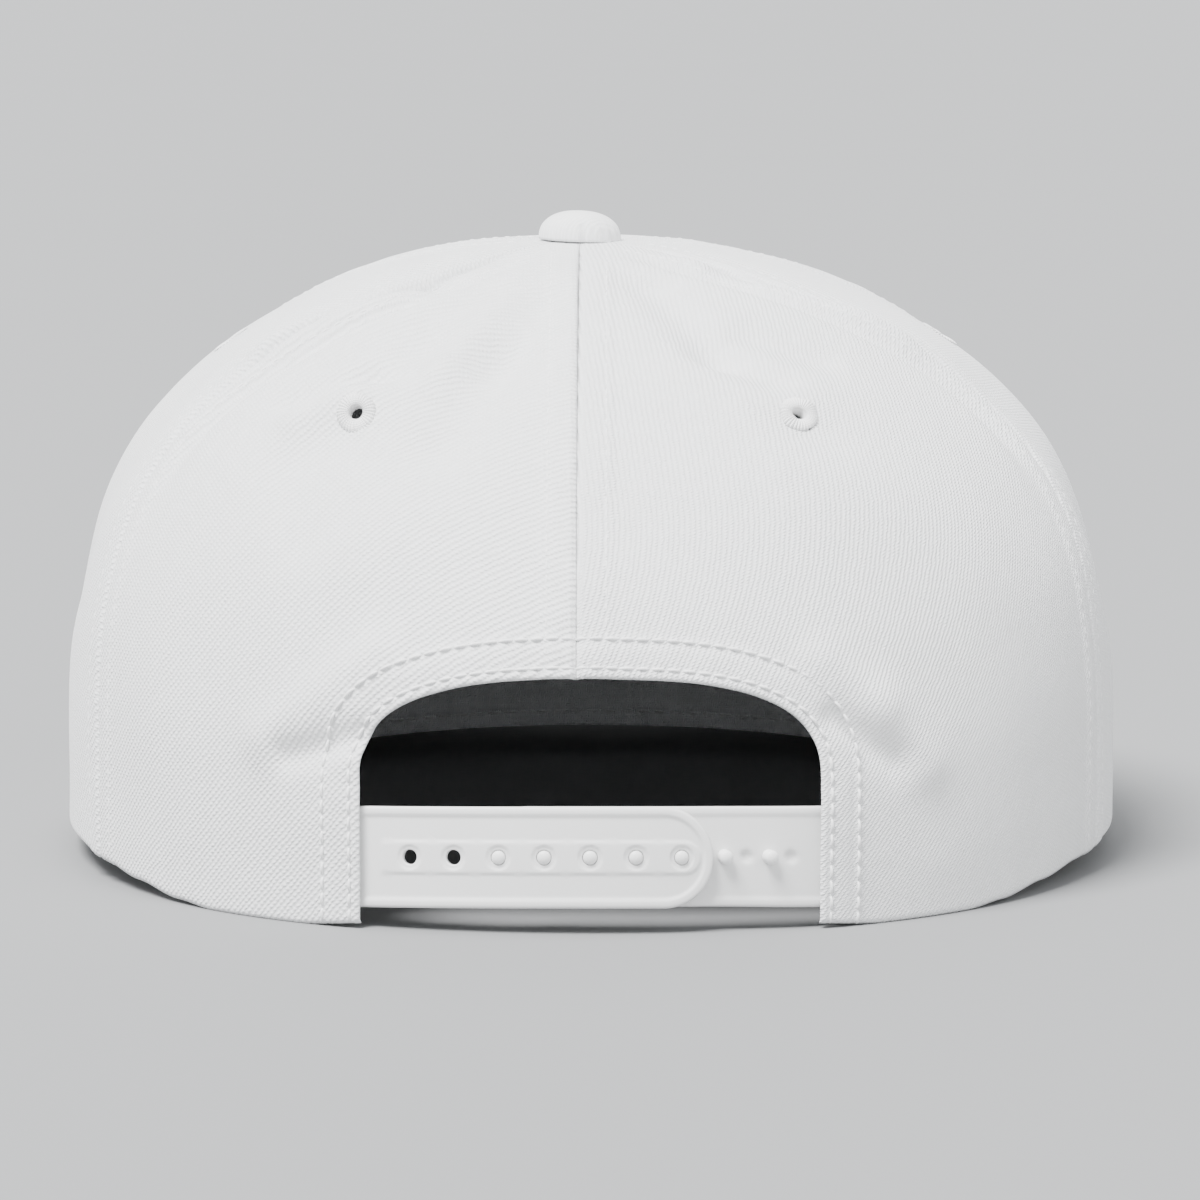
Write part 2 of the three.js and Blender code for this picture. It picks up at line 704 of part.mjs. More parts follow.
function addStraps() {
  const tucked = archHalfWidth + strapTuck;
  const firstHole = ((strapHoleCount + 1) / 2) * strapPitch;
  const lastHole = firstHole - (strapHoleCount - 1) * strapPitch;
  const endMargin = strapEndShare * strapHeight;
  const outerInset = () => strapInset;
  let holed = strapHalf(tucked, lastHole - endMargin - fitClearance, outerInset);
  for (let i = 0; i < strapHoleCount; i += 1) {
    const along = firstHole - i * strapPitch;
    holed = holed.subtract(strapBar(along, strapHoleRadius, 0, strapInset + 2 * strapThickness));
  }
  addMesh('strap_with_holes', toGeometry(holed), plastic);

  const overlapEnd = lastHole - endMargin - strapThickness;
  const innerInset = (along) => strapInset + strapStep * smoothStep(-archHalfWidth, overlapEnd, along);
  const firstPeg = firstHole - (strapHoleCount - strapEngagedPegs) * strapPitch;
  let pegged = strapHalf(-tucked, firstPeg + strapPitch / 2, innerInset);
  for (let i = 0; i < strapEngagedPegs + strapFreePegs; i += 1) {
    const along = firstPeg - i * strapPitch;
    const face = innerInset(along);
    const head = face - strapStep - pegProud;
    const peg = strapBar(along, strapHoleRadius - fitClearance, face + strapThickness / 2, head);
    pegged = pegged.add(peg);
  }
  addMesh('strap_with_pegs', toGeometry(pegged), plastic);
}

// Moves the whole cap so that the middle of its box stands over the origin
function centreOverOrigin() {
  const middle = new THREE.Box3().setFromObject(group).getCenter(new THREE.Vector3());
  group.position.set(-middle.x, -middle.y, 0);
  group.updateMatrixWorld(true);
}

addPanels();
addEyelets();
addButton();
addPeak();
addSweatband();
addStraps();
centreOverOrigin();

export default group;
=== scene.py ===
import math

import bmesh
import bpy
import numpy as np
from bpy.props import FloatProperty, FloatVectorProperty, IntProperty, PointerProperty
from bpy.types import Operator, Panel, PropertyGroup
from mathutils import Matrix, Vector


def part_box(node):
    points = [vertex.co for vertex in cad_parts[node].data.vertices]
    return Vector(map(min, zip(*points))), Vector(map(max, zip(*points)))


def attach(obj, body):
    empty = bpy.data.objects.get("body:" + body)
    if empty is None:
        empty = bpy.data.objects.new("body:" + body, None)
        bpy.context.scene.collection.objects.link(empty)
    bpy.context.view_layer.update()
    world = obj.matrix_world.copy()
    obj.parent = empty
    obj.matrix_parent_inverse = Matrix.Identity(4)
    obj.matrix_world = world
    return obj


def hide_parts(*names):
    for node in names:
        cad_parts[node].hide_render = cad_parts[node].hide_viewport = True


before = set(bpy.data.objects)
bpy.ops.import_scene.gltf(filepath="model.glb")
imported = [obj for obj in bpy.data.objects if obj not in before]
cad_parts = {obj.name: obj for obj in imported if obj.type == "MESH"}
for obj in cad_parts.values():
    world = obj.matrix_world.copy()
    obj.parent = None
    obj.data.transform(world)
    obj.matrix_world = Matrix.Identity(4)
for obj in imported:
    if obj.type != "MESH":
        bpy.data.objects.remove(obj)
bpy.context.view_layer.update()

bl_info = {
    "name": "Snapback cap",
    "version": (1, 0, 0),
    "blender": (4, 5, 0),
    "location": "3D View > Sidebar > Cap",
    "description": "Dresses the frame of a snapback cap in sewn cloth and a moulded strap",
    "category": "Add Mesh",
}

# Lengths are in metres. MM turns a length in millimetres into metres.
MM = 0.001
FAR = 1.0
BODY = "root"

# The crown's axis stands through the button, which sits a little to the wearer's left of the
# middle.
BUTTON_SHIFT = 2.0 * MM
BUTTON_LOW, BUTTON_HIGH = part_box("button")
AXIS_X = (BUTTON_LOW.x + BUTTON_HIGH.x) / 2 - BUTTON_SHIFT
AXIS_Y = (BUTTON_LOW.y + BUTTON_HIGH.y) / 2
HALF_WIDTH = (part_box("crown_side_left")[1].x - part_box("crown_side_right")[0].x) / 2
FRONT_REACH = AXIS_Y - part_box("crown_front_left")[0].y - 0.4 * MM
BACK_REACH = 110.4 * MM
BUTTON_HEIGHT = 5.2 * MM
CROWN_HEIGHT = BUTTON_HIGH.z - BUTTON_HEIGHT
RIM_LIFT = 4.6 * MM
TIP_RADIUS = 3.6 * MM

# Roundness of the crown in plan, and of its upright sections outwards and upwards.
# Two is an ellipse, and a higher number is squarer.
ROUNDNESS = {
    "plan": {"back": 2.14, "side": 2.2, "front": 2.28},
    "out": {"back": 1.6, "side": 1.8, "front": 2.8},
    "up": {"back": 2.55, "side": 3.67, "front": 4.2},
}

# Lift of the rim as a share of RIM_LIFT, by the turn from the back in degrees
RIM_TURNS = (0, 20, 27, 37, 42, 49, 57, 68, 90, 180)
RIM_LIFTS = (0.2, 0.2, 0, 0, 0.16, 0.5, 0.8, 0.97, 1, 1)

# Seams by their turn from the back in degrees, and how far each leans with the table below
SEAMS = {
    "back": (1.2, 0),
    "left": (58, 1),
    "front_left": (120, 0),
    "front": (180, 0),
    "front_right": (240, 0),
    "right": (297, -1),
    "back_again": (361.2, 0),
}
LEAN_UPS = (0, 0.45, 1)
LEAN_DEGREES = (0, 3.5, -12)

# Panels: the CAD node, its two seams, the angle of its twill in degrees, and its pitch as a share
PANELS = (
    ("crown_back_left", "back", "left", 20, 1.0),
    ("crown_side_left", "left", "front_left", 45, 1.0),
    ("crown_front_left", "front_left", "front", 45, 1.0),
    ("crown_front_right", "front", "front_right", 45, 1.0),
    ("crown_side_right", "front_right", "right", 60, 1.0),
    ("crown_back_right", "right", "back_again", 90, 0.82),
)

# Eyelets: the CAD node, its turn in degrees, its share of the way up, and its squeeze and its slant
EYELETS = (
    ("eyelet_back_left", 31.8, 0.548, 1.06, 130),
    ("eyelet_side_left", 90, 0.6, 1.05, 70),
    ("eyelet_front_left", 150, 0.6, 1.04, 10),
    ("eyelet_front_right", 210, 0.6, 1.05, 40),
    ("eyelet_side_right", 270, 0.6, 1.04, -30),
    ("eyelet_back_right", 331.2, 0.544, 1.12, 35),
)

# Folds of the cloth: from and to, each as turn in degrees and share of the way up,
# then half width and rise in millimetres, below 0 in a valley
FOLDS = (
    (12, 0.79, 15, 0.66, 6, -2.2),
    (15, 0.66, 18.5, 0.52, 6.5, -2.3),
    (20, 0.8, 23, 0.64, 6.5, 1.8),
    (26, 0.79, 29, 0.68, 5.5, -1.4),
    (29, 0.68, 33, 0.615, 4.5, -1.6),
    (43, 0.55, 35, 0.605, 3, -1.6),
    (35, 0.605, 28, 0.63, 3, -1.6),
    (40, 0.525, 34, 0.575, 4, 1.5),
    (56, 0.7, 46, 0.8, 3.2, -1.8),
    (46, 0.8, 38, 0.9, 3.2, -1.5),
    (60, 0.62, 51, 0.75, 4, 1.5),
    (36, 0.47, 31, 0.4, 7, -1.2),
    (42, 0.44, 28, 0.38, 12, 0.9),
    (339, 0.82, 337, 0.66, 5, -2.3),
    (337, 0.66, 331, 0.605, 5, -1.9),
    (343, 0.62, 335, 0.5, 8, 1.2),
    (328, 0.69, 320, 0.63, 4, -1.6),
    (302, 0.7, 312, 0.82, 3.2, -1.6),
    (299, 0.62, 308, 0.76, 4, 1.4),
    (330, 0.44, 318, 0.36, 12, 0.9),
    (28.5, 0.165, 20.8, 0.187, 2.6, -1.4),
    (31, 0.18, 20, 0.265, 5, 1.3),
    (337.5, 0.203, 331.5, 0.16, 2.6, -1.4),
    (337.5, 0.258, 332.5, 0.213, 4.5, 1.1),
    (332.5, 0.213, 328, 0.15, 4.5, 1.1),
    (75, 0.5, 82, 0.3, 12, -1.4),
    (284, 0.5, 277, 0.3, 12, -1.4),
)


class CapSizes(PropertyGroup):
    """Sizes of the cap's cloth, thread and stitches."""

    cloth: FloatProperty(
        name="Cloth", description="Thickness of the crown's wall", default=1.6 * MM, unit="LENGTH"
    )
    twill_pitch: FloatProperty(
        name="Twill pitch", description="Distance between the twill's lines",
        default=1.12 * MM, unit="LENGTH"
    )
    stitch_pitch: FloatProperty(
        name="Stitch pitch", description="Distance from stitch to stitch",
        default=2.6 * MM, unit="LENGTH"
    )
    thread: FloatProperty(
        name="Thread", description="Thickness of the sewing thread",
        default=0.56 * MM, unit="LENGTH"
    )
    seam_row: FloatProperty(
        name="Seam row", description="Distance of a row of stitches from its seam",
        default=5.0 * MM, unit="LENGTH"
    )
    hem_near: FloatProperty(
        name="Near hem row", description="Distance of the near row from the opening",
        default=1.7 * MM, unit="LENGTH"
    )
    hem_far: FloatProperty(
        name="Far hem row", description="Distance of the far row from the opening",
        default=6.3 * MM, unit="LENGTH"
    )
    peak_rows: IntProperty(
        name="Peak rows", description="Rows of stitches on the peak", default=8, min=1
    )


class CapColours(PropertyGroup):
    """Colours of the cap's materials and of the floor."""

    cloth: FloatVectorProperty(
        name="Cloth", description="White cotton twill",
        subtype="COLOR", size=3, default=(0.93, 0.935, 0.94)
    )
    thread: FloatVectorProperty(
        name="Thread", description="White sewing thread",
        subtype="COLOR", size=3, default=(0.95, 0.95, 0.95)
    )
    strap: FloatVectorProperty(
        name="Strap", description="Off-white moulded plastic",
        subtype="COLOR", size=3, default=(0.84, 0.84, 0.835)
    )
    floor: FloatVectorProperty(
        name="Floor", description="Plain pale floor",
        subtype="COLOR", size=3, default=(0.24, 0.243, 0.247)
    )


def sizes():
    """The scene's cap sizes."""
    return bpy.context.scene.cap_sizes


def colours():
    """The scene's cap colours."""
    return bpy.context.scene.cap_colours


# The crown's shape

def same_shape(first, second):
    """Both as arrays of numbers with one shape."""
    return np.broadcast_arrays(np.asarray(first, float), np.asarray(second, float))


def bell(value, middle, width):
    """1 at the middle, falling off both ways: e to the minus ((value - middle) / width) squared."""
    return np.exp(-(((value - middle) / width) ** 2))


def smooth_step(low, high, value):
    """Rises from 0 at low to 1 at high, level at both ends."""
    share = np.clip((value - low) / (high - low), 0, 1)
    return share * share * (3 - 2 * share)


def smooth_table(places, values, place):
    """Value of a table at a place, with a smooth rise between each two rows."""
    places = np.asarray(places, float)
    values = np.asarray(values, float)
    row = np.clip(np.searchsorted(places, place) - 1, 0, len(places) - 2)
    share = smooth_step(places[row], places[row + 1], place)
    return values[row] + (values[row + 1] - values[row]) * share


def roundness(turn, key):
    """Roundness towards a turn: the side's, blended to the end's by the square of the cosine."""
    towards = np.cos(turn)
    end = np.where(towards > 0, ROUNDNESS[key]["back"], ROUNDNESS[key]["front"])
    return ROUNDNESS[key]["side"] + (end - ROUNDNESS[key]["side"]) * towards**2


def plan_reach(turn):
    """Distance from the axis to the rim: a superellipse with one reach behind and one in front."""
    power = roundness(turn, "plan")
    lengthwise = np.where(np.cos(turn) > 0, BACK_REACH, FRONT_REACH)
    sideways = (np.abs(np.sin(turn)) / HALF_WIDTH) ** power
    return (sideways + (np.abs(np.cos(turn)) / lengthwise) ** power) ** (-1 / power)


PEAK_HALF_WIDTH = 92.5 * MM
PEAK_LENGTH = 70 * MM
PEAK_THICKNESS = 3.4 * MM
PEAK_CURVE_RADIUS = 720 * MM
PEAK_CORNER_TURN = 121
SEAT_START, SEAT_END = PEAK_CORNER_TURN - 26, PEAK_CORNER_TURN - 2
SEAM_GAP = 0.3 * MM
SEAM_SLIT = 0.02 * MM


def peak_camber(x):
    """Height of the peak's underside: an arc that comes down to the floor at both sides."""
    return np.maximum(PEAK_HALF_WIDTH**2 - x**2, 0) / (2 * PEAK_CURVE_RADIUS)


def from_back(turn):
    """Turn in degrees, counted from the back either way."""
    return np.degrees(np.arccos(np.clip(np.cos(turn), -1, 1)))


def over_peak(turn):
    """Rises from 0 at the temples to 1 where the rim stands on the peak."""
    return smooth_step(SEAT_START, SEAT_END, from_back(turn))


def free_rim(turn):
    """Height of the rim away from the peak, by the table of lifts."""
    return RIM_LIFT * smooth_table(RIM_TURNS, RIM_LIFTS, from_back(turn))


def rim_height(turn):
    """Height of the rim: free at the back and sides, and seated on the peak in front."""
    free = free_rim(turn)
    seated = peak_camber(plan_reach(turn) * np.sin(turn)) + PEAK_THICKNESS + SEAM_GAP
    return free + (seated - free) * over_peak(turn)


def crown_at_climb(turn, climb):
    """Outside of the crown: a superellipse from the rim, at climb 0, to the top, at 90 degrees."""
    out = np.cos(climb) ** (2 / roundness(turn, "out"))
    up = np.sin(climb) ** (2 / roundness(turn, "up"))
    reach = plan_reach(turn) * out
    rim = rim_height(turn)
    x = reach * np.sin(turn) + BUTTON_SHIFT * (1 - out)
    y = reach * np.cos(turn)
    z = rim + (CROWN_HEIGHT - rim) * up
    return np.stack([x + AXIS_X, y + AXIS_Y, z], axis=-1)


def climb_table(turn_steps=721, share_steps=241, samples=400):
    """Climb for every turn and share of the cloth's length, found by adding up short chords."""
    turns = np.linspace(-math.pi, 3 * math.pi, turn_steps)
    shares = np.linspace(0, 1, share_steps)
    top = np.arccos((TIP_RADIUS / plan_reach(turns)) ** (roundness(turns, "out") / 2))
    climbs = top[:, None] * np.linspace(0, 1, samples)[None, :] ** 2
    points = crown_at_climb(np.broadcast_to(turns[:, None], climbs.shape), climbs)
    chords = np.linalg.norm(np.diff(points, axis=1), axis=-1)
    lengths = np.concatenate([np.zeros((turn_steps, 1)), np.cumsum(chords, axis=1)], axis=1)
    rows = [np.interp(shares * line[-1], line, row) for line, row in zip(lengths, climbs)]
    return turns, np.array(rows), lengths[:, -1]


CLIMB_TURNS, CLIMBS, CLOTH_LENGTHS = climb_table()


def climb_at(turn, share):
    """Climb at a share of the way up, read between the four nearest entries of the table."""
    row = (turn - CLIMB_TURNS[0]) / (CLIMB_TURNS[1] - CLIMB_TURNS[0])
    column = np.clip(share, 0, 1) * (CLIMBS.shape[1] - 1)
    i = np.clip(np.floor(row).astype(int), 0, CLIMBS.shape[0] - 2)
    j = np.clip(np.floor(column).astype(int), 0, CLIMBS.shape[1] - 2)
    a, b = row - i, column - j
    low = CLIMBS[i, j] * (1 - b) + CLIMBS[i, j + 1] * b
    high = CLIMBS[i + 1, j] * (1 - b) + CLIMBS[i + 1, j + 1] * b
    return low * (1 - a) + high * a


def crown_at_share(turn, share):
    """Outside of the crown at a turn and a share of the way up the cloth."""
    turn, share = same_shape(turn, share)
    return crown_at_climb(turn, climb_at(turn, share))


def crown_at_height(turn, height):
    """Outside of the crown at a turn and a height, straight down below the rim."""
    turn, height = same_shape(turn, height)
    rim = rim_height(turn)
    up = np.clip((height - rim) / (CROWN_HEIGHT - rim), 0, 1)
    points = crown_at_climb(turn, np.arcsin(up ** (roundness(turn, "up") / 2)))
    points[..., 2] = height
    return points


def circle(steps):
    """Angles of evenly spaced points round a circle."""
    return np.linspace(0, 2 * math.pi, steps, endpoint=False)


def unit(vectors):
    """The vectors at length 1."""
    return vectors / np.maximum(np.linalg.norm(vectors, axis=-1, keepdims=True), 1e-12)


def line_lengths(points):
    """Distance along a line from its first point to each of its points."""
    return np.concatenate([[0], np.cumsum(np.linalg.norm(np.diff(points, axis=0), axis=1))])


def read_line(places, lengths, values):
    """Values that belong to a line's points, read at places along the line."""
    return np.stack([np.interp(places, lengths, column) for column in values.T], axis=-1)


def outward(across, along, points):
    """Direction square to two tangents, on the side away from the crown's axis."""
    normal = unit(np.cross(across, along))
    away = points - np.array([AXIS_X + BUTTON_SHIFT, AXIS_Y, 0.0])
    return np.where(np.sum(normal * away, axis=-1, keepdims=True) < 0, -normal, normal)


def crown_normal(turn, share):
    """Outward direction of the smooth crown, from differences of nearby places."""
    step, lift = 0.01, 0.008
    share = np.clip(share, 0, 1 - lift)
    across = crown_at_share(turn + step, share) - crown_at_share(turn - step, share)
    along = crown_at_share(turn, share + lift) - crown_at_share(turn, share)
    return outward(across, along, crown_at_share(turn, share))


def inside_crown(turn, height, inset):
    """Place at a height, set in from the outside of the crown."""
    step, lift = 0.01, 1.0 * MM
    points = crown_at_height(turn, height)
    across = crown_at_height(turn + step, height) - crown_at_height(turn - step, height)
    along = crown_at_height(turn, height + lift) - points
    return points - outward(across, along, points) * np.asarray(inset)[..., None]


def axis_distance(points):
    """Distance from the crown's axis, seen from above."""
    return np.hypot(points[..., 0] - AXIS_X - BUTTON_SHIFT, points[..., 1] - AXIS_Y)


def share_at_height(turn, height, halvings=26):
    """Share of the way up at which the crown reaches a height, by halving the range."""
    low = np.zeros(np.broadcast(turn, height).shape)
    high = np.ones_like(low)
    for _ in range(halvings):
        middle = (low + high) / 2
        below = crown_at_share(turn, middle)[..., 2] < height
        low, high = np.where(below, middle, low), np.where(below, high, middle)
    return (low + high) / 2


def turn_at_x(x, height, rounds=12):
    """Turn at which the back of the crown, at a height, lies a distance x to the wearer's left."""
    turn = np.arcsin(np.clip(x / BACK_REACH, -1, 1))
    for _ in range(rounds):
        found = crown_at_height(turn, height)[..., 0] - AXIS_X
        turn = turn + (x - found) / BACK_REACH
    return turn


def seam_turn(name, share):
    """Turn of a seam at a share of the way up: its turn at the rim, and its lean."""
    turn, wander = SEAMS[name]
    return np.radians(turn + wander * smooth_table(LEAN_UPS, LEAN_DEGREES, share))


# The arched opening

ARCH_HALF_WIDTH = 38.6 * MM
ARCH_HEIGHT = 42.4 * MM
ARCH_CROWN_DEPTH = 17.5 * MM
ARCH_SQUARENESS = 2.65
ARCH_LEG = ARCH_HEIGHT - ARCH_CROWN_DEPTH


def arch_places(steps=260):
    """The opening's edge from its middle down to the rim on the wearer's left, as x and height."""
    angle = np.linspace(math.pi / 2, 0, steps)
    x = ARCH_HALF_WIDTH * np.cos(angle) ** (2 / ARCH_SQUARENESS)
    z = ARCH_LEG + ARCH_CROWN_DEPTH * np.sin(angle) ** (2 / ARCH_SQUARENESS)
    leg = np.linspace(ARCH_LEG, 0, steps // 4)[1:]
    return np.concatenate([x, np.full_like(leg, ARCH_HALF_WIDTH)]), np.concatenate([z, leg])


def whole_arch():
    """The opening's whole edge, from the wearer's right to the left, as x and height."""
    x, z = arch_places()
    return np.concatenate([-x[::-1], x[1:]]), np.concatenate([z[::-1], z[1:]])


def arch_edge(steps=240):
    """Evenly spaced points of the whole edge of the opening on the outside of the crown."""
    x, z = whole_arch()
    points = crown_at_height(turn_at_x(x, z), z)
    lengths = line_lengths(points)
    return read_line(np.linspace(0, lengths[-1], steps), lengths, points)


ARCH_EDGE = arch_edge()
ARCH_RUN = unit(np.gradient(ARCH_EDGE, axis=0))
ARCH_HALF_STEP = np.linalg.norm(ARCH_EDGE[1] - ARCH_EDGE[0]) / 2
ARCH_ZONE = 60 * MM


def arch_distance(points):
    """Distance from the opening's edge: from its nearest point, less the part along the edge."""
    flat = points.reshape(-1, 3)
    near = np.full(len(flat), FAR)
    close = (np.abs(flat[:, 0] - AXIS_X) < ARCH_ZONE) & (flat[:, 2] < ARCH_ZONE)
    close &= flat[:, 1] > AXIS_Y
    wanted = flat[close]
    if len(wanted):
        nearest = np.linalg.norm(wanted[:, None, :] - ARCH_EDGE[None], axis=-1).argmin(axis=1)
        offset, run = wanted - ARCH_EDGE[nearest], ARCH_RUN[nearest]
        along = np.clip(np.sum(offset * run, axis=1), -ARCH_HALF_STEP, ARCH_HALF_STEP)
        near[close] = np.linalg.norm(offset - along[:, None] * run, axis=1)
    return near.reshape(points.shape[:-1])


# Relief of the sewn cloth

# Folds and waves fade out towards the button, between two shares of the way up, and near the rim
CALM_START, CALM_END = 0.86, 0.95
CALM_RIM = 12 * MM

# Waves of the cloth: the seed of their directions, and their longest and shortest lengths
BROAD_WAVES = (3, 45 * MM, 16 * MM)
FINE_WAVES = (5, 9 * MM, 5 * MM)

# Band of seam allowance: where its inner and its outer slope start and end, from the seam
BAND_INNER = (0.2 * MM, 1.0 * MM)
BAND_OUTER = (5.3 * MM, 6.6 * MM)


def fold_rise(turn, share, points):
    """Sum of the folds: each is a bell across the shortest way to its line on the cloth."""
    reach = axis_distance(points)
    length = np.interp(turn, CLIMB_TURNS, CLOTH_LENGTHS)
    rise = np.zeros_like(reach)
    for from_turn, from_up, to_turn, to_up, wide, height in FOLDS:
        start_x = (math.radians(from_turn) - turn) * reach
        start_y = (from_up - share) * length
        run_x = math.radians(to_turn - from_turn) * reach
        run_y = (to_up - from_up) * length
        along = np.clip(-(start_x * run_x + start_y * run_y) / (run_x**2 + run_y**2), 0, 1)
        away = np.hypot(start_x + along * run_x, start_y + along * run_y)
        rise += height * MM * bell(away, 0, wide * MM)
    return rise


def ripple(points, seed, longest, shortest, waves=14):
    """Faint unevenness: a sum of sine waves in fixed random directions and lengths."""
    rng = np.random.default_rng(seed)
    total = np.zeros(points.shape[:-1])
    for _ in range(waves):
        direction = unit(rng.normal(size=3))
        length = rng.uniform(shortest, longest)
        total += np.sin(points @ direction * (2 * math.pi / length) + rng.uniform(0, 2 * math.pi))
    return total / math.sqrt(waves)


def seam_distance(turn, share, reach):
    """Distance from the nearest seam along the cloth."""
    nearest = np.full(reach.shape, FAR)
    for name in SEAMS:
        nearest = np.minimum(nearest, np.abs(turn - seam_turn(name, share)) * reach)
    return nearest


def seam_rise(distance, share):
    """A groove at the seam, a raised band of seam allowance beside it, and a stitched channel."""
    band = 0.42 * MM * smooth_step(*BAND_INNER, distance)
    band = band * (1 - smooth_step(*BAND_OUTER, distance))
    groove = -0.34 * MM * bell(distance, 0, 0.5 * MM)
    channel = -0.16 * MM * bell(distance, sizes().seam_row, 0.8 * MM)
    fade = 1 - smooth_step(0.86, 0.96, share)
    return (band + channel) * fade + groove * (1 - smooth_step(0.93, 0.99, share))


# Puckers beside a side seam: rise, distance from the seam towards the back, and half width, all
# in millimetres
PUCKERS = ((-1.1, 0, 1.3), (0.6, 3.6, 1.6), (-1.3, 8, 2.2), (0.7, 13, 3), (-0.5, -8, 2.5))


def pucker_rise(turn, share, reach):
    """Ridge and valleys along the upper part of each side seam, on the side towards the back."""
    rise = np.zeros_like(reach)
    for name, towards_back in (("left", -1), ("right", 1)):
        away = towards_back * (turn - seam_turn(name, share)) * reach / MM
        rise += sum(height * bell(away, middle, wide) for height, middle, wide in PUCKERS)
    return rise * MM * smooth_step(0.36, 0.52, share) * (1 - smooth_step(0.84, 0.92, share))


def hem_rise(distance):
    """A turned hem: a rolled edge, a raised band, and two channels for the stitches."""
    near_row, far_row = sizes().hem_near, sizes().hem_far
    band = 0.22 * MM * (1 - smooth_step(far_row + 0.5 * MM, far_row + 1.6 * MM, distance))
    roll = -0.55 * MM * np.clip(1 - distance / (1.0 * MM), 0, 1) ** 2
    rows = bell(distance, near_row, 0.85 * MM) + bell(distance, far_row, 0.85 * MM)
    return band + roll - 0.2 * MM * rows


def eyelet_rise(points):
    """Cloth drawn upright at the two eyelets at the back: (height over the eyelet) times a bell."""
    rise = np.zeros(points.shape[:-1])
    for _, turn, share, _, _ in (EYELETS[0], EYELETS[-1]):
        seat = crown_at_share(math.radians(turn), share)
        above = crown_at_share(math.radians(turn), share + 0.02)
        offset = points - seat
        along = offset @ unit(above - seat)
        rise += 0.3 * along * bell(np.linalg.norm(offset, axis=-1), 0, 8 * MM)
    return rise


def cloth_relief(turn, share):
    """Height of the finished cloth over the smooth crown."""
    points = crown_at_share(turn, share)
    reach = axis_distance(points)
    seam = seam_distance(turn, share, reach)
    hem = arch_distance(points)
    above_rim = points[..., 2] - rim_height(turn)
    calm = (1 - smooth_step(CALM_START, CALM_END, share)) * smooth_step(0, CALM_RIM, above_rim)
    rise = (fold_rise(turn, share, points) + eyelet_rise(points)) * calm
    rise += 0.16 * MM * ripple(points, *BROAD_WAVES) * calm
    close_seam = bell(seam, 0, 7 * MM) + bell(hem, 0, 8 * MM)
    rise += 0.07 * MM * ripple(points, *FINE_WAVES) * calm * close_seam
    rise += seam_rise(seam, share) + pucker_rise(turn, share, reach) + hem_rise(hem)
    rise += -0.5 * MM * np.clip(1 - above_rim / (0.9 * MM), 0, 1) ** 2
    return rise


def cloth_at(turn, share):
    """Points and outward directions of the finished outside of the cloth."""
    turn, share = same_shape(turn, share)
    normal = crown_normal(turn, share)
    return crown_at_share(turn, share) + normal * cloth_relief(turn, share)[..., None], normal


# Meshes

def grid_faces(columns, rows, closed=False):
    """Four-cornered faces of a grid whose points run column by column."""
    index = np.arange(columns * rows).reshape(columns, rows)
    after = np.roll(index, -1, axis=0) if closed else index[1:]
    before = index if closed else index[:-1]
    quads = [before[:, :-1], after[:, :-1], after[:, 1:], before[:, 1:]]
    return np.stack(quads, axis=-1).reshape(-1, 4)


def faces_towards(points, faces, direction):
    """The same faces, turned so that on the whole they face the given direction."""
    corners = points[faces[:, :3]]
    normal = np.cross(corners[:, 1] - corners[:, 0], corners[:, 2] - corners[:, 0])
    facing = np.sum(normal * direction[faces[:, 0]])
    return faces if facing > 0 else faces[:, ::-1]


def piece_from(name, points, faces, material, uv=None):
    """A mesh object at the origin from points, faces and, for each point, a UV place."""
    mesh = bpy.data.meshes.new(name)
    faces = faces if isinstance(faces, list) else faces.tolist()
    mesh.from_pydata(points.reshape(-1, 3).tolist(), [], faces)
    mesh.polygons.foreach_set("use_smooth", np.ones(len(mesh.polygons), dtype=bool))
    if uv is not None:
        layer = mesh.uv_layers.new(name="cloth")
        corner = np.empty(len(mesh.loops), dtype=np.int32)
        mesh.loops.foreach_get("vertex_index", corner)
        layer.data.foreach_set("uv", uv.reshape(-1, 2)[corner].astype(np.float32).ravel())
    mesh.materials.append(material)
    mesh.update()
    piece = bpy.data.objects.new(name, mesh)
    bpy.context.scene.collection.objects.link(piece)
    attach(piece, BODY)
    return piece


def thicken(piece, thickness):
    """Gives an open sheet its wall, inwards from the side that shows, with closed edges."""
    wall = piece.modifiers.new("wall", "SOLIDIFY")
    wall.thickness = thickness
    wall.offset = -1
    wall.use_rim = True


def opened(piece, distance=0.002 * MM):
    """A piece's mesh opened for changes, with points nearer than a distance merged."""
    work = bmesh.new()
    work.from_mesh(piece.data)
    bmesh.ops.remove_doubles(work, verts=work.verts, dist=distance)
    return work


def stored(piece, work):
    """Puts the changed mesh back into its piece."""
    work.to_mesh(piece.data)
    work.free()


def recalculate_out(piece, open_ends=False):
    """Merges doubled points, fills a mesh's open ends and turns its faces outwards."""
    work = opened(piece)
    if open_ends:
        open_edges = [edge for edge in work.edges if len(edge.link_faces) == 1]
        bmesh.ops.holes_fill(work, edges=open_edges, sides=0)
    bmesh.ops.recalc_face_normals(work, faces=work.faces)
    stored(piece, work)


# Materials

def new_material(name):
    """An empty node material, its tree, its shader and the node that reads coordinates."""
    material = bpy.data.materials.new(name)
    material.use_nodes = True
    tree = material.node_tree
    shader = tree.nodes["Principled BSDF"]
    place = tree.nodes.new("ShaderNodeTexCoord")
    return material, tree, shader, place


def set_inputs(node, values):
    """Sets a node's inputs from a table of their names and values."""
    for name, value in values.items():
        node.inputs[name].default_value = value


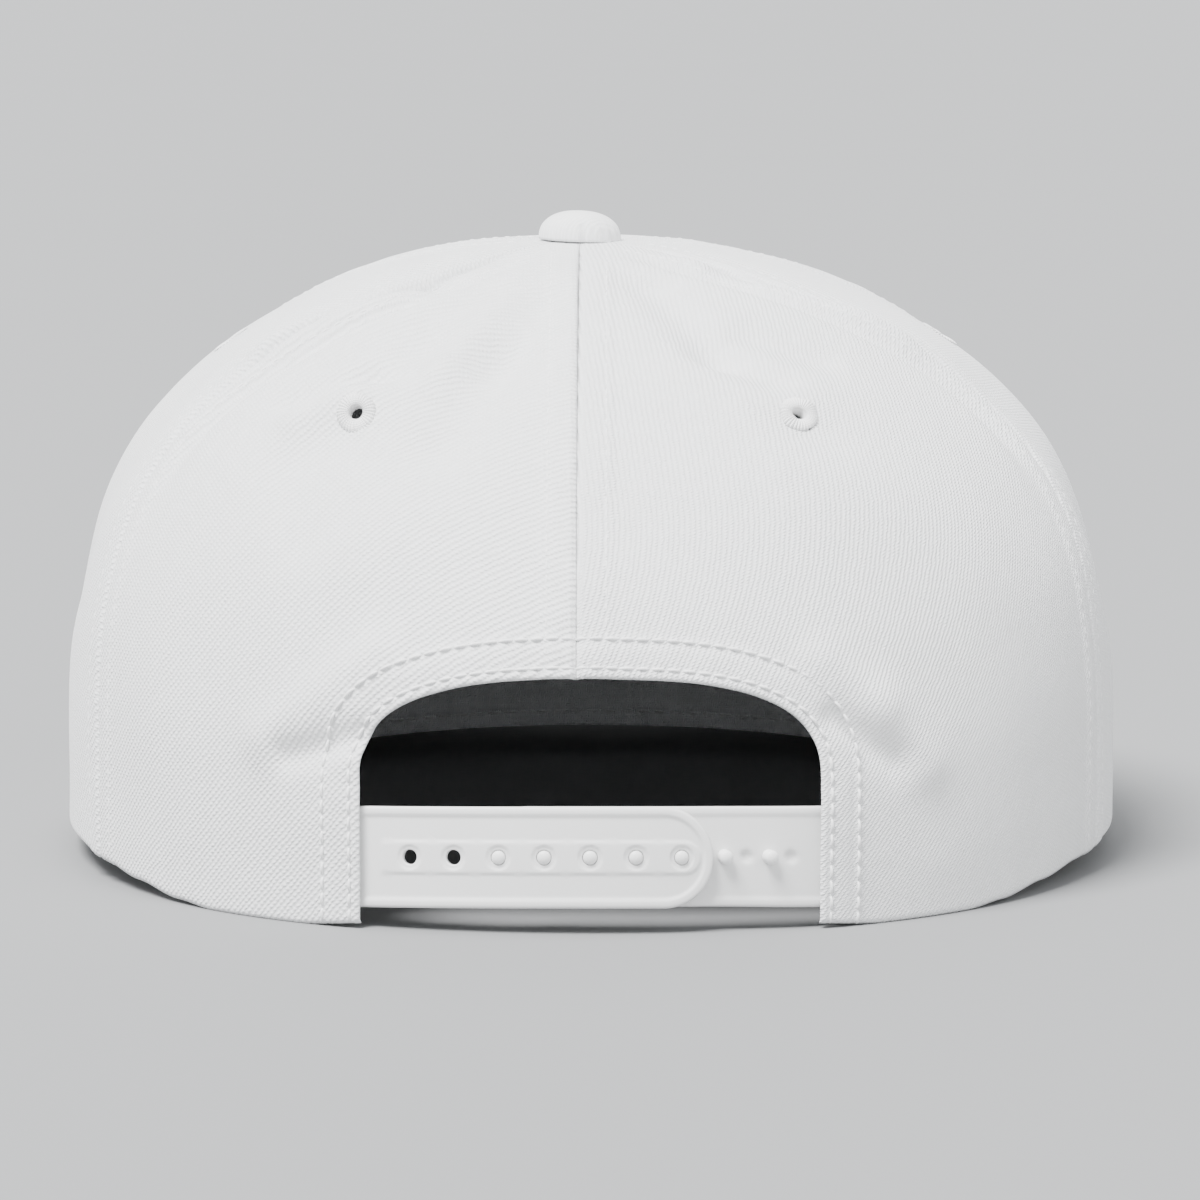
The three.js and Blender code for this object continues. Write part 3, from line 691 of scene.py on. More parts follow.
def wave(tree, source, pitch, angle, distortion):
    """Lines at a pitch and an angle, as a wave texture on a turned copy of the coordinates."""
    turned = tree.nodes.new("ShaderNodeMapping")
    turned.inputs["Rotation"].default_value = (0, 0, angle)
    tree.links.new(source, turned.inputs["Vector"])
    lines = tree.nodes.new("ShaderNodeTexWave")
    lines.wave_type = "BANDS"
    lines.bands_direction = "Y"
    set_inputs(lines, {"Scale": 2 * math.pi / (20 * pitch), "Distortion": distortion})
    set_inputs(lines, {"Detail": 1.0, "Detail Scale": 1.5})
    tree.links.new(turned.outputs["Vector"], lines.inputs["Vector"])
    return lines.outputs["Fac"]


def noise(tree, source, size, detail=2.0, roughness=0.5):
    """Noise whose cells have about the given size."""
    cells = tree.nodes.new("ShaderNodeTexNoise")
    set_inputs(cells, {"Scale": 1 / size, "Detail": detail, "Roughness": roughness})
    tree.links.new(source, cells.inputs["Vector"])
    return cells.outputs["Fac"]


def maths(tree, operation, *values):
    """A Math node on values that are each a number or another node's output."""
    node = tree.nodes.new("ShaderNodeMath")
    node.operation = operation
    for socket, value in zip(node.inputs, values):
        if isinstance(value, (int, float)):
            socket.default_value = value
        else:
            tree.links.new(value, socket)
    return node.outputs["Value"]


def tint(tree, shader, value, dark, light):
    """Colours the shader between dark, where the value is 0, and light, where it is 1."""
    ramp = tree.nodes.new("ShaderNodeValToRGB")
    ramp.color_ramp.elements[0].color = (*dark, 1)
    ramp.color_ramp.elements[1].color = (*light, 1)
    tree.links.new(value, ramp.inputs["Fac"])
    tree.links.new(ramp.outputs["Color"], shader.inputs["Base Color"])


def bump(tree, shader, height, distance, strength):
    """Lets a height value tilt the shading by the given distance."""
    node = tree.nodes.new("ShaderNodeBump")
    set_inputs(node, {"Distance": distance, "Strength": strength})
    tree.links.new(height, node.inputs["Height"])
    tree.links.new(node.outputs["Normal"], shader.inputs["Normal"])


def shade(colour, factor):
    """A colour made darker or lighter by a factor."""
    return tuple(min(channel * factor, 1.0) for channel in colour)


def twill(name, angle, pitch, relief=0.2 * MM):
    """Cotton twill: slanted ribs that the crossing yarns break into short floats, with fuzz, faint
    unevenness of tone and painted shade in the grooves between the ribs. The height is ribs times
    a share of the yarns, plus the fuzz."""
    material, tree, shader, place = new_material(name)
    uv = place.outputs["UV"]
    ribs = wave(tree, uv, pitch, math.radians(-angle), 2.2)
    yarns = wave(tree, uv, pitch * 0.62, math.radians(90 - angle - 18), 1.6)
    fuzz = noise(tree, uv, 0.4 * MM, detail=3.0, roughness=0.7)
    slub = noise(tree, uv, 4 * MM, detail=2.0)
    breaks = maths(tree, "ADD", maths(tree, "MULTIPLY", yarns, 0.6), 0.4)
    floats = maths(tree, "MULTIPLY", ribs, breaks)
    height = maths(tree, "MULTIPLY_ADD", fuzz, 1.1, floats)
    # Colour: random unevenness of tone from the slub, plus painted shade that darkens the low
    # grooves between the ribs
    slub_and_rib_shade = maths(tree, "MULTIPLY_ADD", slub, 0.5, maths(tree, "MULTIPLY", ribs, 0.6))
    tint(tree, shader, slub_and_rib_shade, shade(colours().cloth, 0.86), colours().cloth)
    bump(tree, shader, height, relief, 1.0)
    set_inputs(shader, {"Roughness": 0.92, "Sheen Weight": 0.25, "Sheen Roughness": 0.5})
    set_inputs(shader, {"Specular IOR Level": 0.25})
    return material


def plain_weave(name):
    """Plain woven cloth: two sets of yarns at right angles, with fuzz, and painted shade where the
    weave is low.
    """
    material, tree, shader, place = new_material(name)
    uv = place.outputs["UV"]
    warp = wave(tree, uv, 0.55 * MM, 0.0, 0.6)
    weft = wave(tree, uv, 0.55 * MM, math.pi / 2, 0.6)
    fuzz = noise(tree, uv, 0.4 * MM, detail=3.0)
    crossed = maths(tree, "MULTIPLY", warp, weft)
    height = maths(tree, "ADD", crossed, maths(tree, "MULTIPLY", fuzz, 0.4))
    # Painted shade: the colour is darker where the weave and fuzz are low, between the yarns
    tint(tree, shader, height, shade(colours().cloth, 0.9), shade(colours().cloth, 0.98))
    bump(tree, shader, height, 0.08 * MM, 0.8)
    set_inputs(shader, {"Roughness": 0.95, "Sheen Weight": 0.2})
    return material


def twisted_thread(name):
    """Sewing thread: fine slanted plies that read the object's own coordinates, with painted shade
    between the plies.
    """
    material, tree, shader, place = new_material(name)
    plies = wave(tree, place.outputs["Object"], 0.35 * MM, math.radians(40), 1.0)
    # Painted shade: the thread is darker in the low grooves between the plies
    tint(tree, shader, plies, shade(colours().thread, 0.93), colours().thread)
    bump(tree, shader, plies, 0.04 * MM, 0.7)
    set_inputs(shader, {"Roughness": 0.7, "Sheen Weight": 0.15})
    return material


def satin_thread(name):
    """Satin stitches of an eyelet: the mesh holds the strands, and this adds their plies, with
    painted shade between them.
    """
    material, tree, shader, place = new_material(name)
    strands = wave(tree, place.outputs["UV"], 0.06, 0.0, 0.5)
    # Painted shade: the thread is darker where the strands are low, between them
    tint(tree, shader, strands, shade(colours().thread, 0.9), colours().thread)
    bump(tree, shader, strands, 0.05 * MM, 0.8)
    set_inputs(shader, {"Roughness": 0.6, "Sheen Weight": 0.1})
    return material


def moulded_plastic(name, factor=1.0):
    """Off-white moulded plastic: lets some light in, with a faint grain and soft gloss."""
    material, tree, shader, place = new_material(name)
    flow = noise(tree, place.outputs["Object"], 9 * MM, detail=2.0)
    grain = noise(tree, place.outputs["Object"], 0.5 * MM, detail=3.0)
    # The factor makes lighter and darker copies of the one plastic: painted highlight on the pegs,
    # painted shade on the pegged half
    base = shade(colours().strap, factor)
    tint(tree, shader, flow, shade(base, 0.96), base)
    bump(tree, shader, grain, 0.02 * MM, 0.5)
    set_inputs(shader, {"Roughness": 0.42, "Specular IOR Level": 0.45})
    set_inputs(shader, {"Subsurface Weight": 0.25, "Subsurface Scale": 1.0 * MM})
    set_inputs(shader, {"Subsurface Radius": (1.0, 1.0, 1.0)})
    return material


def plain_floor(name):
    """A pale floor with a barely visible unevenness."""
    material, tree, shader, place = new_material(name)
    mottle = noise(tree, place.outputs["Object"], 0.4, detail=1.0)
    tint(tree, shader, mottle, shade(colours().floor, 0.985), colours().floor)
    set_inputs(shader, {"Roughness": 0.85})
    return material


# Stitches

def stitch_mesh(starts, ends, normals, thickness, sink):
    """Short threads: a round section carried from hole to hole along a low arch over the cloth."""
    rings, sides = 6, 7
    share = np.linspace(0, 1, rings)
    arch = np.sin(math.pi * share) * 0.55 * thickness - sink
    girth = thickness / 2 * (0.55 + 0.45 * np.sin(math.pi * share) ** 0.5)
    line = starts[:, None, :] + (ends - starts)[:, None, :] * share[None, :, None]
    line = line + normals[:, None, :] * arch[None, :, None]
    forward = unit(ends - starts)
    sideways = unit(np.cross(forward, normals))
    upward = np.cross(sideways, forward)
    angle = np.arange(sides) * 2 * math.pi / sides
    ring = (
        np.cos(angle)[None, None, :, None] * sideways[:, None, None, :]
        + np.sin(angle)[None, None, :, None] * upward[:, None, None, :]
    )
    points = line[:, :, None, :] + ring * girth[None, :, None, None]
    index = np.arange(rings * sides).reshape(rings, sides)
    around = np.roll(index, -1, axis=1)
    quads = np.stack([index[:-1], around[:-1], around[1:], index[1:]], axis=-1).reshape(-1, 4)
    first = np.arange(len(starts))[:, None] * rings * sides
    caps = [first + index[0][::-1], first + index[-1]]
    return points, (quads[None] + first[..., None]).reshape(-1, 4), np.concatenate(caps)


def stitches_along(points, normals, pitch, fill=0.84):
    """Stitches at a pitch along a line on the cloth, each filling a share of the pitch."""
    lengths = line_lengths(points)
    first = np.arange(0, lengths[-1] - pitch * fill, pitch)
    last = first + pitch * fill
    middle = unit(read_line((first + last) / 2, lengths, normals))
    return read_line(first, lengths, points), read_line(last, lengths, points), middle


def sew(name, rows, pitch, thickness, material, sink=-0.04 * MM):
    """One object that holds every stitch of several rows, each given by points and directions."""
    parts = [stitches_along(points, normals, pitch) for points, normals in rows]
    starts, ends, normals = (np.concatenate([part[k] for part in parts]) for k in range(3))
    points, quads, caps = stitch_mesh(starts, ends, normals, thickness, sink)
    piece = piece_from(name, points, quads.tolist() + caps.tolist(), material)
    recalculate_out(piece)


# The crown's panels

# Steps of the panels' grids: the whole length, the fine and the coarse step, and how far the fine
# steps go at the start and at the end
PLAIN_COLUMNS = (100 * MM, 0.45 * MM, 1.5 * MM, 7 * MM, 7 * MM)
PLAIN_ROWS = (165 * MM, 0.5 * MM, 1.7 * MM, 2 * MM, 2 * MM)
ARCHED_COLUMNS = (130 * MM, 0.45 * MM, 1.3 * MM, 8 * MM, 2 * MM)
ARCHED_ROWS = (100 * MM, 0.35 * MM, 1.05 * MM, 9 * MM, 8 * MM)
EYELET_CUT = 1.9 * MM


def spaced(length, fine, coarse, fine_start, fine_end):
    """Places from 0 to length in fine steps near its ends and coarse steps between, as shares."""
    start = np.arange(0, fine_start, fine)
    end = length - np.arange(0, fine_end, fine)[::-1]
    steps = max(int(round((end[0] - start[-1]) / coarse)), 1)
    between = np.linspace(start[-1], end[0], steps + 1)[1:-1]
    return np.concatenate([start, between, end]) / length


def plain_panel(from_seam, to_seam):
    """Turn and share of a panel's grid: columns between two seams, rows from the rim to the tip."""
    columns, rows = spaced(*PLAIN_COLUMNS), spaced(*PLAIN_ROWS)
    first, last = seam_turn(from_seam, rows), seam_turn(to_seam, rows)
    middle = (first + last) / 2
    gap = SEAM_SLIT / axis_distance(crown_at_share(middle, rows))
    turn = first + gap + (last - first - 2 * gap) * columns[:, None]
    share = np.broadcast_to(rows, turn.shape)
    across = (turn - middle) * axis_distance(crown_at_share(turn, share))
    length = np.interp(turn, CLIMB_TURNS, CLOTH_LENGTHS)
    return turn, share, np.stack([-across, share * length], axis=-1)


def line_through(places, shares):
    """Places along a line of points at shares of its length."""
    lengths = line_lengths(places)
    return read_line(shares * lengths[-1], lengths, places)


def arched_panel(side):
    """Turn and share of a back panel's grid. On a flat chart of the panel, straight lines run from
    the opening's edge to the tip and the side seam: place = (1 - v) edge(u) + v seam(u). The chart
    has the distance from the back seam across, and the length of the cloth upwards."""
    near, far = ("back", "left") if side > 0 else ("back_again", "right")
    shares = np.linspace(1, 0, 400)
    scale = axis_distance(crown_at_share(np.zeros_like(shares), shares))
    length = np.interp(0.0, CLIMB_TURNS, CLOTH_LENGTHS)

    def scale_at(share):
        return np.interp(share, shares[::-1], scale[::-1])

    x, z = whole_arch()
    turn = turn_at_x(x * side, z)
    share = share_at_height(turn, z)
    across = side * (turn - seam_turn("back", share)) * scale_at(share)
    gap = SEAM_SLIT
    first = np.argmax(across > gap)
    part = (gap - across[first - 1]) / (across[first] - across[first - 1])
    start = share[first - 1] + part * (share[first] - share[first - 1])
    across, up = np.append(gap, across[first:]), np.append(start, share[first:]) * length
    edge = np.stack([across, up], axis=1)
    reach = side * (seam_turn(far, shares) - seam_turn(near, shares)) * scale - gap
    seam = np.stack([np.append(gap, reach), np.append(length, shares * length)], axis=1)

    u, v = spaced(*ARCHED_COLUMNS), spaced(*ARCHED_ROWS)
    low, high = line_through(edge, u)[:, None, :], line_through(seam, u)[:, None, :]
    place = low + (high - low) * v[None, :, None]
    share = np.clip(place[..., 1] / length, 0, 1)
    turn = seam_turn(near, share) + side * place[..., 0] / scale_at(share)
    uv = np.stack([-side * place[..., 0], place[..., 1]], axis=-1)
    return turn, share, uv


# Bends of the back panels' twill: the slope it reaches, where the bend starts, and its span
LEFT_BEND = (0.62, 0, 45 * MM)
RIGHT_BEND = (0.95, 25 * MM, 50 * MM)
RIGHT_LEAN = 0.84


def gathered(place, slope, start, span):
    """Height gained on a slope that grows evenly from 0 at start to its full value a span on."""
    past = np.clip(place - start, 0, span)
    return slope * (past**2 / (2 * span) + np.maximum(place - start - span, 0))


def bent_twill(uv, side):
    """Bends a back panel's twill: it steepens away from the back seam on the wearer's left, and
    leans over towards the rim on the right."""
    if side > 0:
        lift = gathered(-uv[..., 0], *LEFT_BEND)
        return np.stack([uv[..., 0], uv[..., 1] + lift], axis=-1)
    lean = RIGHT_LEAN * uv[..., 1] - gathered(uv[..., 1], *RIGHT_BEND)
    return np.stack([uv[..., 0] - lean, uv[..., 1]], axis=-1)


def away_from_eyelets(turn, share):
    """Distance from the middle of the nearest eyelet along the cloth."""
    points = crown_at_share(turn, share)
    away = np.full(turn.shape, FAR)
    for _, eyelet_turn, eyelet_share, _, _ in EYELETS:
        seat = crown_at_share(math.radians(eyelet_turn), eyelet_share)
        away = np.minimum(away, np.linalg.norm(points - seat, axis=-1))
    return away


def make_panel(name, from_seam, to_seam, angle, pitch):
    """A crown panel: its grid on the finished cloth, cut out under its eyelet, with its wall."""
    side = {"crown_back_left": 1, "crown_back_right": -1}.get(name)
    if side:
        turn, share, uv = arched_panel(side)
        uv = bent_twill(uv, side)
    else:
        turn, share, uv = plain_panel(from_seam, to_seam)
    points, normals = cloth_at(turn, share)
    faces = grid_faces(*turn.shape)
    whole = away_from_eyelets(turn, share) > EYELET_CUT
    faces = faces[whole.reshape(-1)[faces].all(axis=1)]
    points, normals, uv = points.reshape(-1, 3), normals.reshape(-1, 3), uv.reshape(-1, 2)
    faces = faces_towards(points, faces, normals)
    used, compact = np.unique(faces, return_inverse=True)
    material = twill(f"{name}_twill", angle, pitch * sizes().twill_pitch)
    faces = compact.reshape(-1, 4)
    piece = piece_from(f"{name}_cloth", points[used], faces, material, uv[used])
    thicken(piece, sizes().cloth)
    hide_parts(name)


class CAP_OT_make_panels(Operator):
    """Make the six panels of the crown, with the arched opening cut into the two at the back."""

    bl_idname = "cap.make_panels"
    bl_label = "Make crown panels"

    def execute(self, context):
        for panel in PANELS:
            make_panel(*panel)
        return {"FINISHED"}


# Stitches on the crown

# Rows beside the seams: the share of the way up at which they start and end, and their widest
# distance from the seam as a share of the distance to the axis
ROWS_FROM, BACK_ROWS_FROM, ROWS_TO = 0.012, 0.27, 0.95
ROW_SHARE = 0.36


def seam_rows():
    """Two rows of stitches for each seam, one on each side, up towards the button."""
    rows = []
    for name in [name for name in SEAMS if name != "back_again"]:
        share = np.linspace(BACK_ROWS_FROM if name == "back" else ROWS_FROM, ROWS_TO, 420)
        middle = seam_turn(name, share)
        reach = axis_distance(crown_at_share(middle, share))
        offset = np.minimum(sizes().seam_row, ROW_SHARE * reach)
        rows += [cloth_at(middle + side * offset / reach, share) for side in (-1, 1)]
    return rows


def hem_rows():
    """Two rows of stitches along the opening, each the edge moved outwards on the cloth."""
    rows = []
    x, z = whole_arch()
    run = unit(np.gradient(np.stack([x, z], axis=1), axis=0))
    outside = np.stack([-run[:, 1], run[:, 0]], axis=1)
    for distance in (sizes().hem_near, sizes().hem_far):
        moved_x = x + outside[:, 0] * distance
        moved_z = np.maximum(z + outside[:, 1] * distance, 0.3 * MM)
        turn = turn_at_x(moved_x, moved_z)
        rows.append(cloth_at(turn, share_at_height(turn, moved_z)))
    return rows


class CAP_OT_sew_crown(Operator):
    """Sew the rows of stitches beside the crown's seams and round the arched opening."""

    bl_idname = "cap.sew_crown"
    bl_label = "Sew the crown"

    def execute(self, context):
        material = twisted_thread("sewing_thread")
        pitch, thread = sizes().stitch_pitch, sizes().thread
        sew("seam_stitches", seam_rows(), pitch, 0.7 * thread, material, sink=0.24 * MM)
        sew("hem_stitches", hem_rows(), pitch, thread, material, sink=0.07 * MM)
        return {"FINISHED"}


# Eyelets and button

EYELET_INNER, EYELET_OUTER = 1.3 * MM, 3.6 * MM
BACK_EYELET_RISE, EYELET_RISE = 0.7 * MM, 0.2 * MM
FIRST_SEED = 11


def frame_at(turn, share):
    """Place on the cloth and the three directions there: across, up the cloth, and outwards."""
    step, lift = 0.03, 0.018
    turns = turn + np.array([0, -step, step, 0, 0])
    shares = share + np.array([0, 0, 0, -lift, lift])
    points, normals = cloth_at(turns, shares)
    up = unit(points[4] - points[3])
    normal = unit(np.cross(points[2] - points[1], up))
    normal = normal if np.dot(normal, normals[0]) > 0 else -normal
    return points[0], unit(np.cross(up, normal)), up, normal


def eyelet_section(rise):
    """Radius and height of the ring's closed section: over the cloth, and back through the hole."""
    over = np.linspace(0, math.pi, 13)
    radius = (EYELET_INNER + EYELET_OUTER - np.cos(over) * (EYELET_OUTER - EYELET_INNER)) / 2
    height = 0.02 * MM + rise * np.sin(over) ** 0.85
    barrel = np.array([[3.2, -0.25], [1.95, -0.3], [1.95, -1.45], [3.15, -1.5], [3.3, -1.75]])
    inside = np.array([[2.7, -2.05], [1.9, -2.05], [1.5, -1.8], [1.28, -1.0]])
    return np.concatenate([np.stack([radius, height], axis=1), barrel * MM, inside * MM])


def make_eyelet(name, turn, share, squeeze, slant, seed):
    """A worked ring: the section carried round the hole, with a ridge for each strand of thread."""
    steps, strands = 264, 33
    ridge = 0.34 * MM
    rng = np.random.default_rng(seed)
    section = eyelet_section(BACK_EYELET_RISE if "back" in name else EYELET_RISE)
    angle = circle(steps)
    uneven = sum(rng.normal() * np.cos((k + 2) * angle + rng.uniform(0, 6)) for k in range(5)) / 5
    strand = np.abs(np.sin(angle * strands / 2 + 0.5 * uneven)) ** 0.6
    radius = np.broadcast_to(section[None, :, 0], (steps, len(section)))
    outside = smooth_step(2.0 * MM, 3.4 * MM, radius)
    radius = radius + outside * (0.25 * MM * uneven[:, None] + ridge * (strand[:, None] - 0.5))
    over = (section[None, :, 1] > 0) * 1.0
    height = section[None, :, 1] + over * (strand[:, None] - 0.7) * ridge
    height = height + over * 0.1 * MM * uneven[:, None]
    along = np.cos(angle)[:, None] * radius * squeeze
    across = np.sin(angle)[:, None] * radius / squeeze
    tilt = math.radians(slant)
    first = along * math.cos(tilt) - across * math.sin(tilt)
    second = along * math.sin(tilt) + across * math.cos(tilt)
    centre, right, up, out = frame_at(math.radians(turn), share)
    points = centre + first[..., None] * right + second[..., None] * up + height[..., None] * out
    count = section.shape[0]
    closed = np.concatenate([points, points[:, :1]], axis=1)
    faces = grid_faces(steps, count + 1, closed=True)
    around, over = angle / (2 * math.pi) * 4, np.linspace(0, 1, count + 1)
    uv = np.stack(np.meshgrid(around, over, indexing="ij"), axis=-1)
    material = satin_thread(f"{name}_thread")
    piece = piece_from(f"{name}_ring", closed, faces, material, uv)
    recalculate_out(piece)
    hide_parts(name)


class CAP_OT_work_eyelets(Operator):
    """Work the six stitched eyelets, one in each panel."""

    bl_idname = "cap.work_eyelets"
    bl_label = "Work the eyelets"

    def execute(self, context):
        for seed, eyelet in enumerate(EYELETS):
            make_eyelet(*eyelet, seed + FIRST_SEED)
        return {"FINISHED"}


def make_button():
    """A covered button: a flattened dome turned round the axis, gathered at its edge, on a stem."""
    steps, rise_steps = 120, 30
    radius, height = 7.5 * MM, BUTTON_HEIGHT
    angle = circle(steps)
    over = np.linspace(math.pi / 2, 0, rise_steps)
    out = radius * np.cos(over) ** (2 / 2.3)
    up = height * np.sin(over) ** (2 / 2.5)
    tuck = np.array([[0.985 * radius, 0], [0.9 * radius, -0.1 * MM]])
    stem = np.array([[3.4, -0.1], [3.2, -2.4], [5.6, -2.5], [5.6, -3.2], [0.0, -3.3]]) * MM
    out = np.concatenate([out, tuck[:, 0], stem[:, 0]])
    up = np.concatenate([up, tuck[:, 1], stem[:, 1]])
    near_edge = bell(out, radius, 1.2 * MM) * (up > -0.05 * MM)
    pleats = 0.07 * MM * np.sin(22 * angle) + 0.05 * MM * np.sin(9 * angle + 1)
    pinch = 0.4 * MM * bell(angle, math.radians(97), 0.12)
    reach = out[None, :] + near_edge[None, :] * (pleats - pinch)[:, None]
    x = reach * np.cos(angle)[:, None]
    y = reach * np.sin(angle)[:, None]
    tilt = 0.035 * (up[None, :] > -1 * MM)
    z = CROWN_HEIGHT - 0.2 * MM + up[None, :] * 1.03 + tilt * x
    z = np.minimum(z, BUTTON_HIGH.z)
    points = np.stack([x + AXIS_X + BUTTON_SHIFT, y + AXIS_Y, np.broadcast_to(z, x.shape)], axis=-1)
    faces = grid_faces(steps, len(out), closed=True)
    material = twill("button_twill", 40, 0.6 * sizes().twill_pitch, 0.06 * MM)
    piece = piece_from("button_cover", points, faces, material, points[..., :2])
    recalculate_out(piece)
    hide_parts("button")


class CAP_OT_cover_button(Operator):
    """Cover the button on top of the crown."""

    bl_idname = "cap.cover_button"
    bl_label = "Cover the button"

    def execute(self, context):
        make_button()
        return {"FINISHED"}


# Peak

PEAK_WIDEST = 0.6 * FRONT_REACH
PEAK_CORNER_REACH = 14 * MM
PEAK_CORNER_ANGLE = math.radians(115)
PEAK_SQUARENESS = 2.5
PEAK_FIRST_ROW, PEAK_ROW_STEP, PEAK_ROW_WIDTH = 0.955, 0.098, 0.011
PEAK_FINE_FROM = 0.93


def peak_edge(side):
    """Outer edge of the peak: a superellipse in front of its widest place, an ellipse behind it."""
    angle = side * PEAK_CORNER_ANGLE
    beyond = np.abs(angle) > math.pi / 2
    power = np.where(beyond, 1.0, 2 / PEAK_SQUARENESS)
    x = PEAK_HALF_WIDTH * np.sign(np.sin(angle)) * np.abs(np.sin(angle)) ** power
    forward = np.abs(np.cos(angle)) ** power
    reach = np.where(beyond, -PEAK_CORNER_REACH, FRONT_REACH + PEAK_LENGTH - PEAK_WIDEST)
    return np.stack([x + AXIS_X, AXIS_Y - PEAK_WIDEST - reach * forward, 0 * x], axis=-1)


def peak_root(side):
    """Inner edge of the peak, under the crown's wall."""
    turn = math.pi - side * (math.pi - math.radians(PEAK_CORNER_TURN))
    return inside_crown(turn, rim_height(turn), np.full_like(turn, 1.6 * MM))


def peak_row_rise(out, rows):
    """Channels that the rows of stitches press into the peak, evenly spaced from its edge."""
    rise = np.zeros_like(out)
    for k in range(rows):
        rise -= 0.28 * MM * bell(out, peak_row_place(k), PEAK_ROW_WIDTH)
    return rise


def peak_row_place(k):
    """Share of the way out at which a row of stitches lies."""
    return PEAK_FIRST_ROW - PEAK_ROW_STEP * k


def peak_surface(side, out, top):
    """Top or underside of the peak between its root and edge, rounded at the edge."""
    root, edge = peak_root(side), peak_edge(side)
    plan = root + (edge - root) * out[..., None]
    middle = peak_camber(plan[..., 0] - AXIS_X) + PEAK_THICKNESS / 2
    width = np.linalg.norm((edge - root)[..., :2], axis=-1)
    from_edge = np.clip((1 - out) * width / (PEAK_THICKNESS * 0.55), 0, 1)
    half = PEAK_THICKNESS / 2 * np.sqrt(1 - (1 - from_edge) ** 2)
    rise = peak_row_rise(out, sizes().peak_rows) * (from_edge >= 1)
    sign = 1.0 if top else -1.0
    plan[..., 2] = middle + sign * (half + rise)
    return plan


def make_peak():
    """The peak: closed sections from root to edge and back below, carried round the front."""
    side = np.linspace(1, -1, 241)
    inner = np.linspace(0, PEAK_FINE_FROM, 150)
    outer = 1 - np.linspace(1, 0, 16) ** 2 * (1 - PEAK_FINE_FROM)
    out = np.concatenate([inner, outer[1:]])
    grid_side, grid_out = np.meshgrid(side, out, indexing="ij")
    top = peak_surface(grid_side, grid_out, True)
    bottom = peak_surface(grid_side, grid_out, False)[:, ::-1]
    bottom[..., 2] = np.maximum(bottom[..., 2], 0.02 * MM)
    loop = np.concatenate([top, bottom[:, 1:], top[:, :1]], axis=1)
    faces = grid_faces(*loop.shape[:2])
    material = twill("peak_twill", 45, sizes().twill_pitch)
    piece = piece_from("peak_cloth", loop, faces, material, loop[..., :2])
    recalculate_out(piece, open_ends=True)
    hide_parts("peak")


def peak_rows():
    """Rows of stitches on the peak's top and underside, along lines of equal share outwards."""
    rows = []
    side = np.linspace(0.97, -0.97, 500)
    for k in range(sizes().peak_rows):
        out = np.full_like(side, peak_row_place(k))
        for top in (True, False):
            points = peak_surface(side, out, top)
            normal = np.zeros_like(points)
            normal[:, 2] = 1.0 if top else -1.0
            normal[:, 0] = (points[:, 0] - AXIS_X) / PEAK_CURVE_RADIUS * normal[:, 2]
            rows.append((points, unit(normal)))
    return rows


class CAP_OT_make_peak(Operator):
    """Make the flat peak with its rows of stitches."""

    bl_idname = "cap.make_peak"
    bl_label = "Make the peak"

    def execute(self, context):
        make_peak()
        thread = bpy.data.materials["sewing_thread"]
        sew("peak_stitches", peak_rows(), sizes().stitch_pitch * 1.1, sizes().thread * 0.8, thread)
        return {"FINISHED"}


# Sweatband

SWEATBAND_HEIGHT = 30 * MM
SWEATBAND_THICKNESS = 1.2 * MM
SWEATBAND_SETBACK = 5 * MM
SWEATBAND_ROW = 3 * MM
SWEATBAND_CHANNEL = 0.25 * MM
BEHIND_FROM, BEHIND_TO = math.radians(3), math.radians(14)
STRAP_THICKNESS = 1.2 * MM
STRAP_TUCK = 10 * MM
FIT = 0.3 * MM


def sweatband_inset(turn):
    """How far in the band's inner face lies: its wall, one gap, and one strap more behind the
    strap's tucked ends."""
    end = math.asin(ARCH_HALF_WIDTH / BACK_REACH) + STRAP_TUCK / BACK_REACH
    nearest = np.minimum(turn, 2 * math.pi - turn)
    behind = 1 - smooth_step(end + BEHIND_FROM, end + BEHIND_TO, nearest)
    outer = sizes().cloth + FIT + (STRAP_THICKNESS + FIT) * behind
    return outer + SWEATBAND_THICKNESS


def sweatband_foot(turn):
    """Height of the band's lower edge: the free rim's, and the peak's underside over the peak."""
    seated = peak_camber(plan_reach(turn) * np.sin(turn))
    return free_rim(turn) * (1 - over_peak(turn)) + seated * over_peak(turn)


